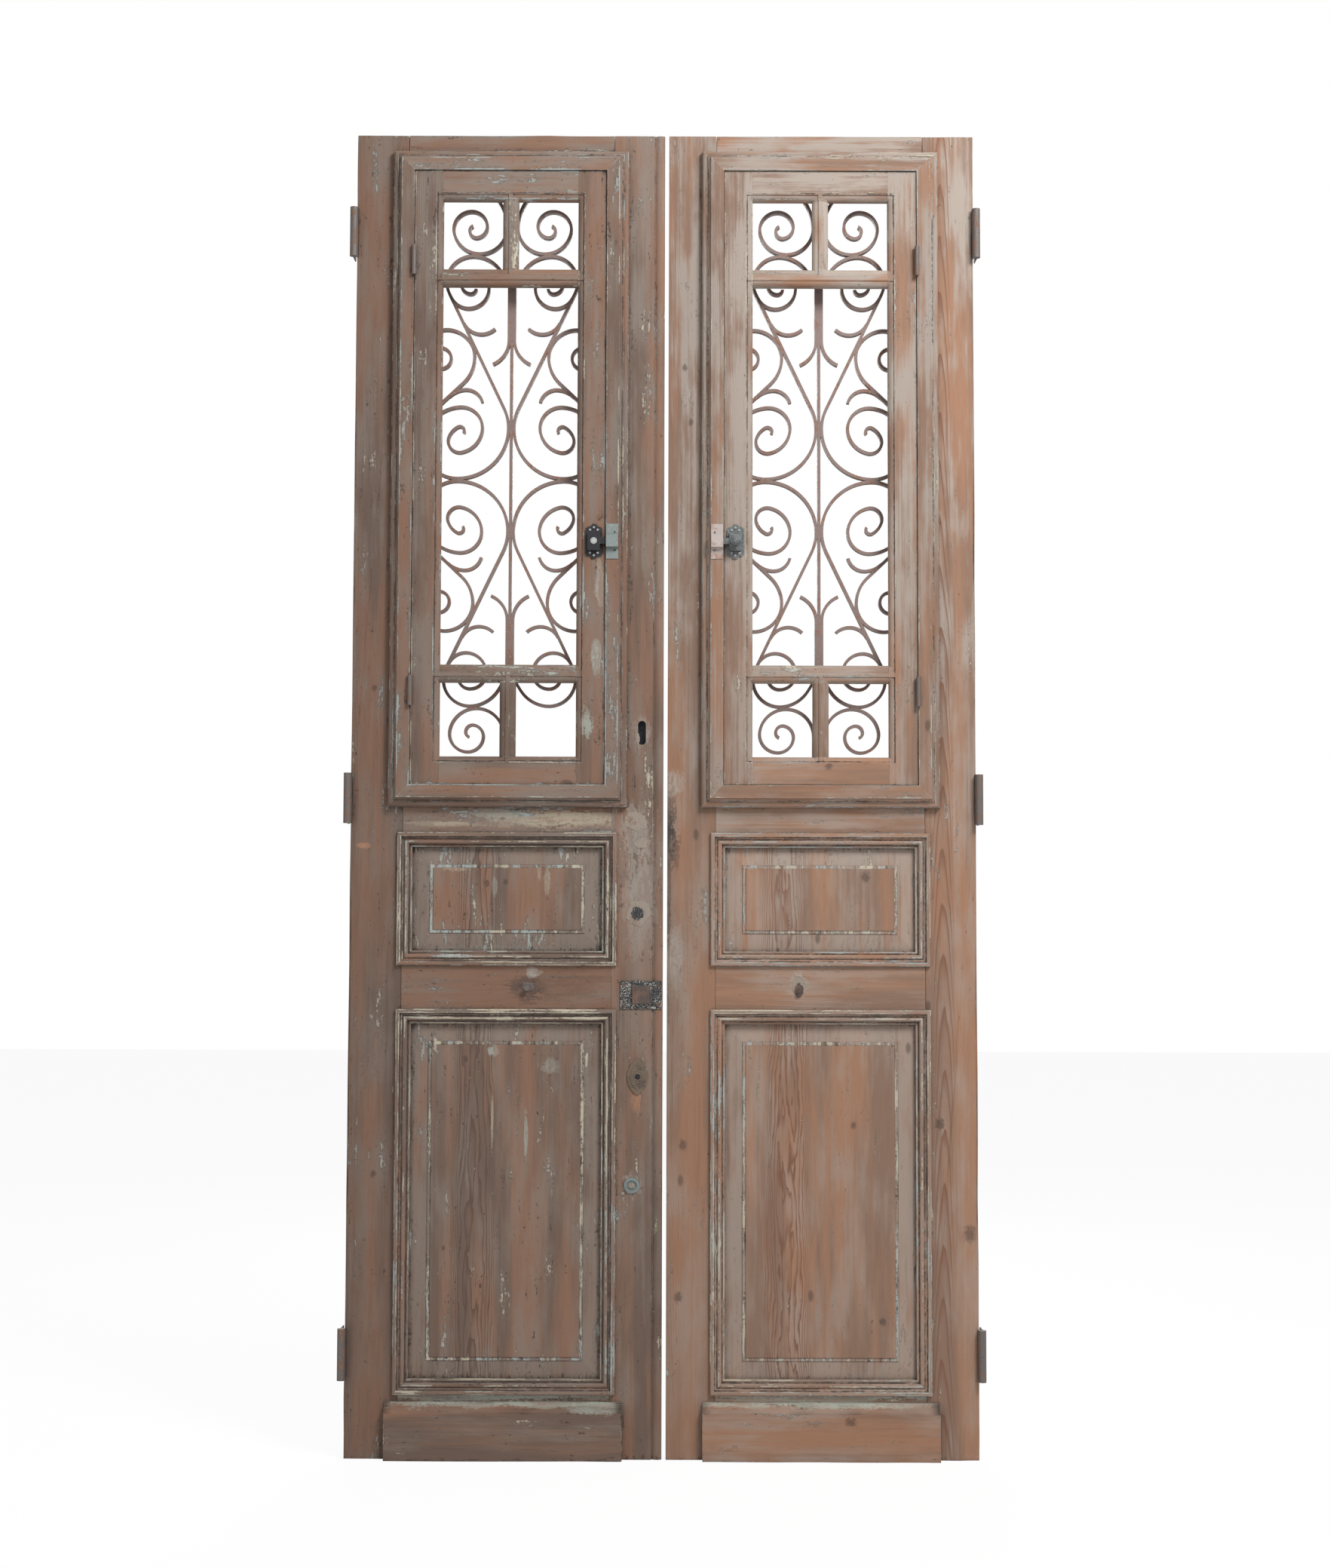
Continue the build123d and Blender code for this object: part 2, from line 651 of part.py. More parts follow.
@dataclass
class Fit:
    """Carries the drawn quarter over to a grille of another width and height."""

    half_width: float
    half_height: float

    @property
    def spread(self):
        drawn = BESIDE_SIDE - BESIDE_MIDDLE
        return (drawn + self.half_width - DRAWN_HALF_WIDTH) / drawn

    @property
    def stretch(self):
        drawn = END_BAR - ACROSS_MIDDLE
        return (drawn + self.half_height - DRAWN_HALF_HEIGHT) / drawn

    def point(self, drawn):
        across, above = drawn
        if across == SIDE_BAR:
            across = self.half_width - BAR_WIDTH / 2
        elif across > SCROLL_AWAY:
            across = BESIDE_MIDDLE + (across - BESIDE_MIDDLE) * self.spread
        return across, ACROSS_MIDDLE + (above - ACROSS_MIDDLE) * self.stretch

    def heading(self, drawn):
        return drawn[0] * self.spread, drawn[1] * self.stretch


def scroll(path, fit):
    """A flat bar along a chain of tangent arcs, as a face."""
    first, drawn_heading, points = path
    start, heading = fit.point(first), fit.heading(drawn_heading)
    with BuildSketch() as bar:
        for point in points:
            with BuildLine():
                arc = TangentArc(start, fit.point(point), tangent=heading)
            trace(line_width=BAR_WIDTH)
            start, heading = arc @ 1, arc % 1
    return bar.sketch


def straight(ends, fit):
    """A straight flat bar, as a face."""
    with BuildSketch() as bar:
        with BuildLine():
            Line(*[fit.point(end) for end in ends])
        trace(line_width=BAR_WIDTH)
    return bar.sketch


def grille(leaf):
    """The grille: a frame, a middle bar and the same scrolls in each quarter."""
    x, z = window_spans(leaf)
    stop = LINING_THICKNESS + STOP_WIDTH + GRILLE_CLEARANCE
    outer_x, outer_z = grown(x, -stop), grown(z, -stop)
    fit = Fit((outer_x[1] - outer_x[0]) / 2, (outer_z[1] - outer_z[0]) / 2)
    centre = ((outer_x[0] + outer_x[1]) / 2, (outer_z[0] + outer_z[1]) / 2)
    inner_x, inner_z = fit.half_width - BAR_WIDTH, fit.half_height - BAR_WIDTH
    with BuildSketch() as quarter:
        add([scroll(path, fit) for path in SCROLLS])
        add([straight(ends, fit) for ends in STRAIGHTS])
    with BuildSketch() as top:
        add([scroll(TOP_SCROLL, fit), scroll(TOP_FLARE, fit)])
    with BuildSketch() as bottom:
        add([scroll(TOP_SCROLL, fit), straight(LOW_BAR, fit)])
    with BuildSketch() as flat:
        Rectangle(2 * fit.half_width, 2 * fit.half_height)
        Rectangle(2 * inner_x, 2 * inner_z, mode=Mode.SUBTRACT)
        Rectangle(BAR_WIDTH, 2 * inner_z + BAR_WIDTH)
        across = mirror(quarter.sketch, about=Plane.YZ, mode=Mode.PRIVATE)
        for half in (quarter.sketch, across):
            add(half)
            add(mirror(half, about=Plane.XZ, mode=Mode.PRIVATE))
        add(top.sketch)
        add(mirror(top.sketch, about=Plane.YZ, mode=Mode.PRIVATE))
        low_right = mirror(bottom.sketch, about=Plane.XZ, mode=Mode.PRIVATE)
        add(mirror(low_right, about=Plane.YZ, mode=Mode.PRIVATE))
        if leaf is RIGHT:
            add(low_right)
    front = FRONT + GRILLE_SETBACK + BAR_DEPTH
    with BuildPart() as piece:
        with BuildSketch(Plane.XZ.offset(-front)):
            with Locations(centre):
                add(flat.sketch)
        extrude(amount=BAR_DEPTH)
    return piece.part


def kick_board(leaf):
    x = leaf.span(leaf.hinge_stile - KICK_OVERHANG, leaf.opening_end + KICK_OVERHANG)
    with BuildPart() as board:
        with BuildSketch(Plane((x[1], FRONT, BOTTOM), x_dir=PROUD, z_dir=(-1, 0, 0))):
            with BuildLine():
                Polyline((0, KICK_HEIGHT), (0, 0), (KICK_PROUD, 0), (KICK_PROUD, KICK_FACE))
                curve = TangentArc(
                    (KICK_PROUD, KICK_FACE),
                    ((KICK_PROUD + KICK_TOP_PROUD) / 2, (KICK_FACE + KICK_HEIGHT) / 2),
                    tangent=UPWARD,
                )
                TangentArc(curve @ 1, (KICK_TOP_PROUD, KICK_HEIGHT), tangent=curve % 1)
                Line((KICK_TOP_PROUD, KICK_HEIGHT), (0, KICK_HEIGHT))
            make_face()
        extrude(amount=x[1] - x[0])
    return board.part


def leaf_hinges(leaf):
    """The leaf's halves of the hinges: plates let into the edge, and the upper knuckles."""
    axis_x = leaf.at(-JAMB_CLEARANCE)
    with BuildPart() as hinges:
        for height in HINGE_HEIGHTS:
            low, high = up(height - PLATE_HEIGHT / 2, height + PLATE_HEIGHT / 2)
            mid = (low + high) / 2
            seat = mid + KNUCKLE_CLEARANCE / 2
            plate = leaf.span(0, PLATE_THICKNESS)
            block(plate, (FRONT, FRONT + PLATE_DEPTH), (low, high))
            block(plate, (AXIS_Y, FRONT), (seat, high))
            with Locations((axis_x, AXIS_Y, seat)):
                Cylinder(
                    KNUCKLE_RADIUS, high - seat, align=(Align.CENTER, Align.CENTER, Align.MIN)
                )
                Cylinder(
                    BORE_RADIUS,
                    BORE_DEPTH,
                    align=(Align.CENTER, Align.CENTER, Align.MIN),
                    mode=Mode.SUBTRACT,
                )
    return hinges.part


def jamb_hinges(leaf):
    """The jamb's halves: screwed plates, and the lower knuckles with their pins."""
    axis_x = leaf.at(-JAMB_CLEARANCE)
    plate = leaf.span(-JAMB_CLEARANCE - PLATE_THICKNESS, -JAMB_CLEARANCE)
    face = Plane((axis_x, 0, 0), x_dir=(0, leaf.way, 0), z_dir=(leaf.way, 0, 0))
    with BuildPart() as hinges:
        for height in HINGE_HEIGHTS:
            low, high = up(height - PLATE_HEIGHT / 2, height + PLATE_HEIGHT / 2)
            mid = (low + high) / 2
            seat = mid - KNUCKLE_CLEARANCE / 2
            block(plate, (FRONT, FRONT + PLATE_DEPTH), (low, high))
            block(plate, (AXIS_Y, FRONT), (low, seat))
            with Locations((axis_x, AXIS_Y, low)):
                Cylinder(
                    KNUCKLE_RADIUS, seat - low, align=(Align.CENTER, Align.CENTER, Align.MIN)
                )
            with Locations((axis_x, AXIS_Y, seat)):
                Cylinder(PIN_RADIUS, PIN_RISE, align=(Align.CENTER, Align.CENTER, Align.MIN))
            with Locations(face):
                with Locations((0, mid - SCREW_SPACING / 2), (0, mid + SCREW_SPACING / 2)):
                    CounterSinkHole(SCREW_RADIUS, SCREW_HEAD_RADIUS, depth=PLATE_THICKNESS)
    return hinges.part


def sash_hinges(leaf):
    """Closed butt hinges between casing and sash."""
    joint = sash_hinge_place(leaf)
    flap = leaf.span(joint - SASH_FLAP_LET_IN, joint + SASH_CLEARANCE + SASH_FLAP_LET_IN)
    knuckle_y = CASING_FRONT - SASH_KNUCKLE_RADIUS
    with BuildPart() as hinges:
        for height in SASH_HINGE_HEIGHTS:
            low, high = up(height - SASH_KNUCKLE_LENGTH / 2, height + SASH_KNUCKLE_LENGTH / 2)
            block(flap, (knuckle_y, CASING_FRONT + SASH_FLAP_DEPTH), (low, high))
            with Locations(((flap[0] + flap[1]) / 2, knuckle_y, (low + high) / 2)):
                Cylinder(SASH_KNUCKLE_RADIUS, high - low)
    return hinges.part


def latch(leaf):
    """The latch on the sash: a lobed plate, a raised case and a bolt across the joint."""
    outer_x, _, _, _, _ = sash_layout(leaf)
    sash_edge = outer_x[1] if leaf is LEFT else outer_x[0]
    flat = SASH_STILE - SASH_OVOLO
    middle = sash_edge - leaf.way * flat / 2
    height = BOTTOM + LATCH_HEIGHT_UP
    lobes = LATCH_LENGTH / 2 - LATCH_LOBE_RADIUS
    spread = LATCH_WIDTH / 2 - LATCH_LOBE_RADIUS
    with BuildPart() as piece:
        with BuildSketch(Plane.XZ.offset(-SASH_FRONT)):
            with Locations((middle, height)):
                Rectangle(LATCH_WIDTH, LATCH_CASE_LENGTH)
                Rectangle(LATCH_CASE_WIDTH - LATCH_LOBE_RADIUS, 2 * lobes)
            with Locations((middle, height)):
                with GridLocations(2 * spread, 2 * LATCH_SIDE_LOBES_UP, 2, 2):
                    Circle(LATCH_LOBE_RADIUS)
            with Locations((middle, height - lobes), (middle, height + lobes)):
                Circle(LATCH_LOBE_RADIUS)
        extrude(amount=LATCH_PLATE)
        with BuildSketch(Plane.XZ.offset(-SASH_FRONT)):
            with Locations((middle, height)):
                RectangleRounded(LATCH_CASE_WIDTH, LATCH_CASE_LENGTH, LATCH_LOBE_RADIUS / 2)
        extrude(amount=LATCH_CASE_PROUD)
        bolt_reach = middle + leaf.way * (flat / 2 + SASH_CLEARANCE + CASING_FACE / 2)
        bolt = tuple(sorted((middle, bolt_reach)))
        bolt_y = (SASH_FRONT - BOLT_RISE - BOLT_THICKNESS, SASH_FRONT - BOLT_RISE)
        block(bolt, bolt_y, (height - BOLT_HEIGHT / 2, height + BOLT_HEIGHT / 2))
        if leaf is LEFT:
            with BuildSketch(Plane.XZ.offset(-SASH_FRONT + LATCH_CASE_PROUD)):
                with Locations((middle, height)):
                    Circle(SPINDLE_RADIUS)
            extrude(amount=-LATCH_CASE_PROUD / 2, mode=Mode.SUBTRACT)
        else:
            face = (middle, SASH_FRONT - LATCH_CASE_PROUD, height)
            with BuildSketch(Plane(face, x_dir=(1, 0, 0), z_dir=(0, 0, 1))):
                with BuildLine():
                    Polyline(
                        (0, 0),
                        (KNOB_NECK_RADIUS, 0),
                        (KNOB_NECK_RADIUS, -KNOB_NECK),
                        (KNOB_RADIUS, -KNOB_NECK - KNOB_SLOPE),
                        (KNOB_RADIUS, -KNOB_PROUD + KNOB_SLOPE),
                        (KNOB_NECK_RADIUS, -KNOB_PROUD),
                        (0, -KNOB_PROUD),
                        (0, 0),
                    )
                make_face()
            axis = Axis((middle, 0, height), (0, 1, 0))
            revolve(axis=axis)
    return piece.part


def latch_keeper(leaf):
    """The strip on the casing that the bolt goes under."""
    outer_x, _, _, _, _ = sash_layout(leaf)
    sash_edge = outer_x[1] if leaf is LEFT else outer_x[0]
    near = sash_edge + leaf.way * 2 * SASH_CLEARANCE
    far = near + leaf.way * KEEPER_WIDTH
    x = tuple(sorted((near, far)))
    height = BOTTOM + LATCH_HEIGHT_UP
    flat = KEEPER_THICKNESS / 2
    with BuildPart() as keeper:
        with BuildSketch(Plane((x[1], CASING_FRONT, height), x_dir=PROUD, z_dir=(-1, 0, 0))):
            with BuildLine():
                Polyline(
                    (flat, -KEEPER_LENGTH / 2),
                    (flat, -KEEPER_ARCH / 2),
                    (flat + KEEPER_RAISE, KEEPER_BEND - KEEPER_ARCH / 2),
                    (flat + KEEPER_RAISE, KEEPER_ARCH / 2 - KEEPER_BEND),
                    (flat, KEEPER_ARCH / 2),
                    (flat, KEEPER_LENGTH / 2),
                )
            trace(line_width=KEEPER_THICKNESS)
        extrude(amount=x[1] - x[0])
    return keeper.part


def knob_plate(leaf):
    """The plate with a square boss, up to the meeting edge."""
    outer = leaf.at(leaf.width - KNOB_PLATE_INSET)
    middle = leaf.at(leaf.width - KNOB_PLATE_INSET - KNOB_PLATE_WIDTH / 2)
    height = BOTTOM + KNOB_PLATE_UP
    with BuildPart() as plate:
        with BuildSketch(Plane.XZ.offset(-FRONT)):
            with Locations((middle, height)):
                Rectangle(KNOB_PLATE_WIDTH, KNOB_PLATE_HEIGHT)
        extrude(amount=KNOB_PLATE_THICKNESS)
        with BuildSketch(Plane.XZ.offset(-FRONT)):
            with Locations((outer - leaf.way * BOSS_SIDE, height)):
                Rectangle(BOSS_SIDE, BOSS_SIDE)
        extrude(amount=BOSS_PROUD)
        front = plate.faces().sort_by(Axis.Y)[0]
        chamfer(front.edges(), length=BOSS_CHAMFER)
    return plate.part


def key_escutcheon(leaf):
    """A pointed oval plate in two tiers with a bore."""
    centre = (leaf.at(leaf.width - ESCUTCHEON_IN), FRONT, BOTTOM + ESCUTCHEON_UP)
    face = Plane(centre, x_dir=(1, 0, 0), z_dir=PROUD)
    tiers = (
        (ESCUTCHEON_WIDTH, ESCUTCHEON_HEIGHT, ESCUTCHEON_THICKNESS),
        (ESCUTCHEON_INNER_WIDTH, ESCUTCHEON_INNER_HEIGHT, ESCUTCHEON_INNER_THICKNESS),
    )
    with BuildPart() as plate:
        for width, height, thickness in tiers:
            with BuildSketch(face):
                with BuildLine():
                    ThreePointArc((0, -height / 2), (width / 2, 0), (0, height / 2))
                    ThreePointArc((0, height / 2), (-width / 2, 0), (0, -height / 2))
                make_face()
            extrude(amount=thickness)
        with BuildSketch(face):
            Circle(ESCUTCHEON_BORE)
        extrude(amount=ESCUTCHEON_INNER_THICKNESS, mode=Mode.SUBTRACT)
    return plate.part


def cylinder_lock(leaf):
    """The round lock cylinder, through the stile."""
    centre = (leaf.at(leaf.width - CYLINDER_IN), BOTTOM + CYLINDER_UP)
    with BuildPart() as lock:
        with BuildSketch(Plane.XZ.offset(-BACK)):
            with Locations(centre):
                Circle(BARREL_RADIUS)
        extrude(amount=LEAF_THICKNESS)
        with BuildSketch(Plane.XZ.offset(-FRONT)):
            with Locations(centre):
                Circle(CYLINDER_RADIUS)
        extrude(amount=CYLINDER_PROUD)
        with BuildSketch(Plane.XZ.offset(-FRONT + CYLINDER_PROUD)):
            with Locations(centre):
                Circle(BARREL_RADIUS)
        extrude(amount=-CYLINDER_RECESS, mode=Mode.SUBTRACT)
    return lock.part


def strike_plate(leaf):
    with BuildPart() as plate:
        with BuildSketch(strike_plane(leaf)):
            Rectangle(STRIKE_DEPTH, STRIKE_HEIGHT)
        extrude(amount=-STRIKE_THICKNESS)
    return plate.part


for door in (LEFT, RIGHT):
    save(hinge_stile(door), f"{door.side}_hinge_stile")
    save(lock_stile(door), f"{door.side}_lock_stile")
    for rail_name, (rail_low, rail_high) in RAILS.items():
        save(rail(door, rail_low, rail_high), f"{door.side}_{rail_name}")
    for panel_name, (panel_low, panel_high) in PANELS.items():
        save(raised_panel(door, panel_low, panel_high), f"{door.side}_{panel_name}")
        save(panel_mouldings(door, panel_low, panel_high), f"{door.side}_{panel_name}_mouldings")
    casing_stiles, casing_rails = casing(door)
    save(casing_stiles, f"{door.side}_casing_stiles")
    save(casing_rails, f"{door.side}_casing_rails")
    sash_stiles, sash_rails, sash_bars = sash(door)
    save(sash_stiles, f"{door.side}_sash_stiles")
    save(sash_rails, f"{door.side}_sash_rails")
    save(sash_bars, f"{door.side}_sash_bars")
    save(grille(door), f"{door.side}_grille")
    save(kick_board(door), f"{door.side}_kick_board")
    save(leaf_hinges(door), f"{door.side}_door_hinges")
    save(jamb_hinges(door), f"{door.side}_jamb_hinges")
    save(sash_hinges(door), f"{door.side}_sash_hinges")
    save(latch(door), f"{door.side}_latch")
    save(latch_keeper(door), f"{door.side}_latch_keeper")
save(knob_plate(LEFT), "left_knob_plate")
save(key_escutcheon(LEFT), "left_key_escutcheon")
save(cylinder_lock(LEFT), "left_cylinder_lock")
save(strike_plate(RIGHT), "right_strike_plate")
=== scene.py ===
"""Looks for a pair of old pine entry-door leaves with iron grilles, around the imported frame.

Metres. The room side faces -Y, +X runs from the left jamb to the right one and +Z is up.
"""

import logging
import math
import random
from dataclasses import dataclass, field
from enum import Enum

import bmesh
import bpy
from mathutils import Matrix, Vector

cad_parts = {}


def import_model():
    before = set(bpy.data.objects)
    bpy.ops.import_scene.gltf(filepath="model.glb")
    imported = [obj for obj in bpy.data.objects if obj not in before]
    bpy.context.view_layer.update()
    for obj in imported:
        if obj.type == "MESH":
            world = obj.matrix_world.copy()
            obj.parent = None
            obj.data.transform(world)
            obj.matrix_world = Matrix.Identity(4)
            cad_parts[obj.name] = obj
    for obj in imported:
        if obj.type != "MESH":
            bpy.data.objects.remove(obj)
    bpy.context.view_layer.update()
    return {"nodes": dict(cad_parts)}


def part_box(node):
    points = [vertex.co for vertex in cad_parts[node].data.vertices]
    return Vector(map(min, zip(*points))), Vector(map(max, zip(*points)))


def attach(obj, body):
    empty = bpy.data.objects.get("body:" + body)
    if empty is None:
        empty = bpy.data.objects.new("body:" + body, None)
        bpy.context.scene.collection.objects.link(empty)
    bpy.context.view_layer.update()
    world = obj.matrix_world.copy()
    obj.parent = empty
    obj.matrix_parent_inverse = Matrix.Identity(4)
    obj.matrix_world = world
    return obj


LOG = logging.getLogger("door")
MM = 0.001
Colour = tuple[float, float, float, float]
Socket = bpy.types.NodeSocket
Shape = bmesh.types.BMesh


class Side(Enum):
    """The two leaves, as seen from the room."""

    LEFT = "left"
    RIGHT = "right"


class Grain(Enum):
    """How the grain of a node's boards runs."""

    UPRIGHT = "upright"
    LEVEL = "level"
    FRAMED = "framed"
    BARRED = "barred"


def shown(red: int, green: int, blue: int) -> Colour:
    """Turns a colour as it looks on a screen into the shader's linear one.

    Args:
        red: The red part, 0 to 255.
        green: The green part, 0 to 255.
        blue: The blue part, 0 to 255.

    Returns:
        The linear colour with full alpha.
    """

    def linear(part: int) -> float:
        """Turns one part."""
        share = part / 255
        return share / 12.92 if share <= 0.04045 else ((share + 0.055) / 1.055) ** 2.4

    return linear(red), linear(green), linear(blue), 1.0


class Amount:
    """A shader number that grows Math nodes when it is worked with."""

    def __init__(self, graph: "Graph", socket: Socket) -> None:
        """Wraps an output socket of a graph."""
        self.graph = graph
        self.socket = socket

    def __add__(self, other: "Amount | float") -> "Amount":
        """Adds."""
        return self.graph.math("ADD", self, other)

    __radd__ = __add__

    def __sub__(self, other: "Amount | float") -> "Amount":
        """Takes away."""
        return self.graph.math("SUBTRACT", self, other)

    def __rsub__(self, other: "Amount | float") -> "Amount":
        """Takes this away from a number."""
        return self.graph.math("SUBTRACT", other, self)

    def __mul__(self, other: "Amount | float") -> "Amount":
        """Multiplies."""
        return self.graph.math("MULTIPLY", self, other)

    __rmul__ = __mul__

    def __truediv__(self, other: "Amount | float") -> "Amount":
        """Divides."""
        return self.graph.math("DIVIDE", self, other)

    def __pow__(self, other: "Amount | float") -> "Amount":
        """Raises to a power."""
        return self.graph.math("POWER", self, other)

    def __abs__(self) -> "Amount":
        """The size without the sign."""
        return self.graph.math("ABSOLUTE", self)

    def __gt__(self, other: "Amount | float") -> "Amount":
        """One where this is greater, else nought."""
        return self.graph.math("GREATER_THAN", self, other)

    def fraction(self) -> "Amount":
        """What is left over whole numbers."""
        return self.graph.math("FRACT", self)

    def root(self) -> "Amount":
        """The square root."""
        return self.graph.math("SQRT", self)

    def most(self, other: "Amount | float") -> "Amount":
        """The greater of two."""
        return self.graph.math("MAXIMUM", self, other)

    def rise(self, low: float, high: float) -> "Amount":
        """Goes smoothly from nought at low to one at high, or down where high is lower.

        Args:
            low: Where it is nought.
            high: Where it is one.

        Returns:
            The eased amount.
        """
        made = self.graph.node(
            "ShaderNodeMapRange",
            {"interpolation_type": "SMOOTHSTEP"},
            {"Value": self, "From Min": low, "From Max": high},
        )
        return Amount(self.graph, made.outputs["Result"])


class Graph:
    """The node tree of one material."""

    def __init__(self, name: str, world: bpy.types.World | None = None) -> None:
        """Starts an empty tree.

        Args:
            name: The material's name.
            world: The world, where the tree is for that.
        """
        self.material = world or bpy.data.materials.new(name)
        self.material.use_nodes = True
        self.tree = self.material.node_tree
        self.tree.nodes.clear()

    def node(
        self, kind: str, settings: dict | None = None, sockets: dict | None = None
    ) -> bpy.types.Node:
        """Adds a node, with its settings first.

        Args:
            kind: The node's type.
            settings: Its own settings by name.
            sockets: Values or links for its inputs, by name or number.

        Returns:
            The node.
        """
        made = self.tree.nodes.new(kind)
        for name, value in (settings or {}).items():
            setattr(made, name, value)
        for key, value in (sockets or {}).items():
            source = value.socket if isinstance(value, Amount) else value
            if isinstance(source, Socket):
                self.tree.links.new(source, made.inputs[key])
            else:
                made.inputs[key].default_value = source
        return made

    def math(self, operation: str, *values: "Amount | float") -> Amount:
        """Adds a Math node.

        Args:
            operation: What it does.
            *values: Its inputs in order.

        Returns:
            Its result.
        """
        made = self.node("ShaderNodeMath", {"operation": operation}, dict(enumerate(values)))
        return Amount(self, made.outputs[0])

    def place(self) -> tuple[Amount, Amount, Amount]:
        """Finds the point on the piece.

        Returns:
            The point along X, Y and Z, in metres.
        """
        point = self.node("ShaderNodeTexCoord").outputs["Object"]
        parts = self.node("ShaderNodeSeparateXYZ", None, {0: point}).outputs
        return Amount(self, parts[0]), Amount(self, parts[1]), Amount(self, parts[2])

    def joined(self, *parts: "Amount | float") -> Socket:
        """Three numbers as one vector."""
        return self.node("ShaderNodeCombineXYZ", None, dict(enumerate(parts))).outputs[0]

    def noise(self, vector: Socket, scale: float, detail: float, rough: float) -> Amount:
        """Adds a noise texture.

        Args:
            vector: Where it is read.
            scale: How many lumps to a unit.
            detail: How many finer layers it has.
            rough: How strong those are.

        Returns:
            Its value, about one half on average.
        """
        sockets = {"Vector": vector, "Scale": scale, "Detail": detail, "Roughness": rough}
        return Amount(self, self.node("ShaderNodeTexNoise", None, sockets).outputs[0])

    def mix(self, share: "Amount | float", first: object, second: object) -> Socket:
        """Mixes two colours.

        Args:
            share: How much of the second there is.
            first: A colour or a link.
            second: A colour or a link.

        Returns:
            The mixed colour.
        """
        made = self.node("ShaderNodeMix", {"data_type": "RGBA"}, {0: share, 6: first, 7: second})
        return made.outputs[2]

    def corners(self, reach: float) -> Amount:
        """How deep in a corner a point lies, from nought in the open, within a reach in metres."""
        made = self.node("ShaderNodeAmbientOcclusion", {"samples": 6}, {"Distance": reach})
        return 1 - Amount(self, made.outputs["AO"])

    def edges(self, radius: float) -> Amount:
        """Finds the sharp edges.

        Args:
            radius: How far an edge reaches, in metres.

        Returns:
            How near to an edge a point lies, from nought on the flat.
        """
        soft = self.node("ShaderNodeBevel", {"samples": 4}, {"Radius": radius}).outputs[0]
        true = self.node("ShaderNodeNewGeometry").outputs["Normal"]
        made = self.node("ShaderNodeVectorMath", {"operation": "DOT_PRODUCT"}, {0: soft, 1: true})
        return 1 - Amount(self, made.outputs["Value"])

    def finish(
        self, colour: object, rough: object, bump: Amount, depth: float, metal: object = 0.0
    ) -> bpy.types.Material:
        """Ends the tree in a shader with a bump.

        Args:
            colour: The base colour or its link.
            rough: The roughness or its link.
            bump: The height of the surface.
            depth: How far, in metres, a bump of one stands up.
            metal: How metallic it is.

        Returns:
            The material.
        """
        normal = self.node("ShaderNodeBump", None, {"Distance": depth, "Height": bump}).outputs[0]
        sockets = {"Base Color": colour, "Roughness": rough, "Metallic": metal, "Normal": normal}
        shader = self.node("ShaderNodeBsdfPrincipled", None, sockets)
        self.node("ShaderNodeOutputMaterial", None, {0: shader.outputs[0]})
        return self.material


@dataclass(frozen=True)
class Mark:
    """A stain, a filled place or a broken place on the timber, in metres.

    Attributes:
        x: Its middle, from the left jamb.
        z: Its middle, from the lower end.
        half_wide: Half its width.
        half_high: Half its height.
        colour: Its colour.
        strength: How much it covers, from nought to one.
    """

    x: float
    z: float
    half_wide: float
    half_high: float
    colour: Colour
    strength: float


@dataclass(frozen=True)
class Figure:
    """The growth rings that a board shows on its face.

    Attributes:
        heart: Where across the grain they are centred, in metres.
        strength: How plain they are.
        narrow: How narrow their arches are.
        climb: How many arches there are to a metre.
        wild: How far they wander.
        reach: Half the width of the figured band.
    """

    heart: float
    strength: float = 0.3
    narrow: float = 1700.0
    climb: float = 6.0
    wild: float = 1.5
    reach: float = 0.07


@dataclass(frozen=True)
class Board:
    """What a timber finish has to know of one node's boards.

    Attributes:
        name: The node.
        grain: How its grain runs.
        low: Its lowest corner.
        high: Its highest corner.
        seed: Moves the patterns, so that no two boards are alike.
        figure: Its growth rings.
        painted: How much more of the old paint it keeps than the leaf as a whole.
        bars: For a node of crossing bars, the middle between the level ones, how far each is from it,
            and half a bar.
        raised: For a panel, how far the flat of its field stands from its middle.
        painted_shade: How much the whole board is darkened, as painted shade.
        ridges: How far in from the frame's border the pale worn ridges run.
        grooves: How far in from it the dark grooves run.
        knots: Places of knots, each across, along and radius.
        marks: Stains and broken places.
    """

    name: str
    grain: Grain
    low: Vector
    high: Vector
    seed: float
    figure: Figure
    painted: float
    bars: tuple[float, float, float]
    raised: float
    painted_shade: float
    ridges: tuple[float, ...]
    grooves: tuple[float, ...]
    knots: tuple[tuple[float, float, float], ...]
    marks: tuple[Mark, ...]

    @property
    def middle(self) -> Vector:
        """The middle of its box."""
        return (self.low + self.high) / 2

    @property
    def half(self) -> Vector:
        """Half the size of its box."""
        return (self.high - self.low) / 2


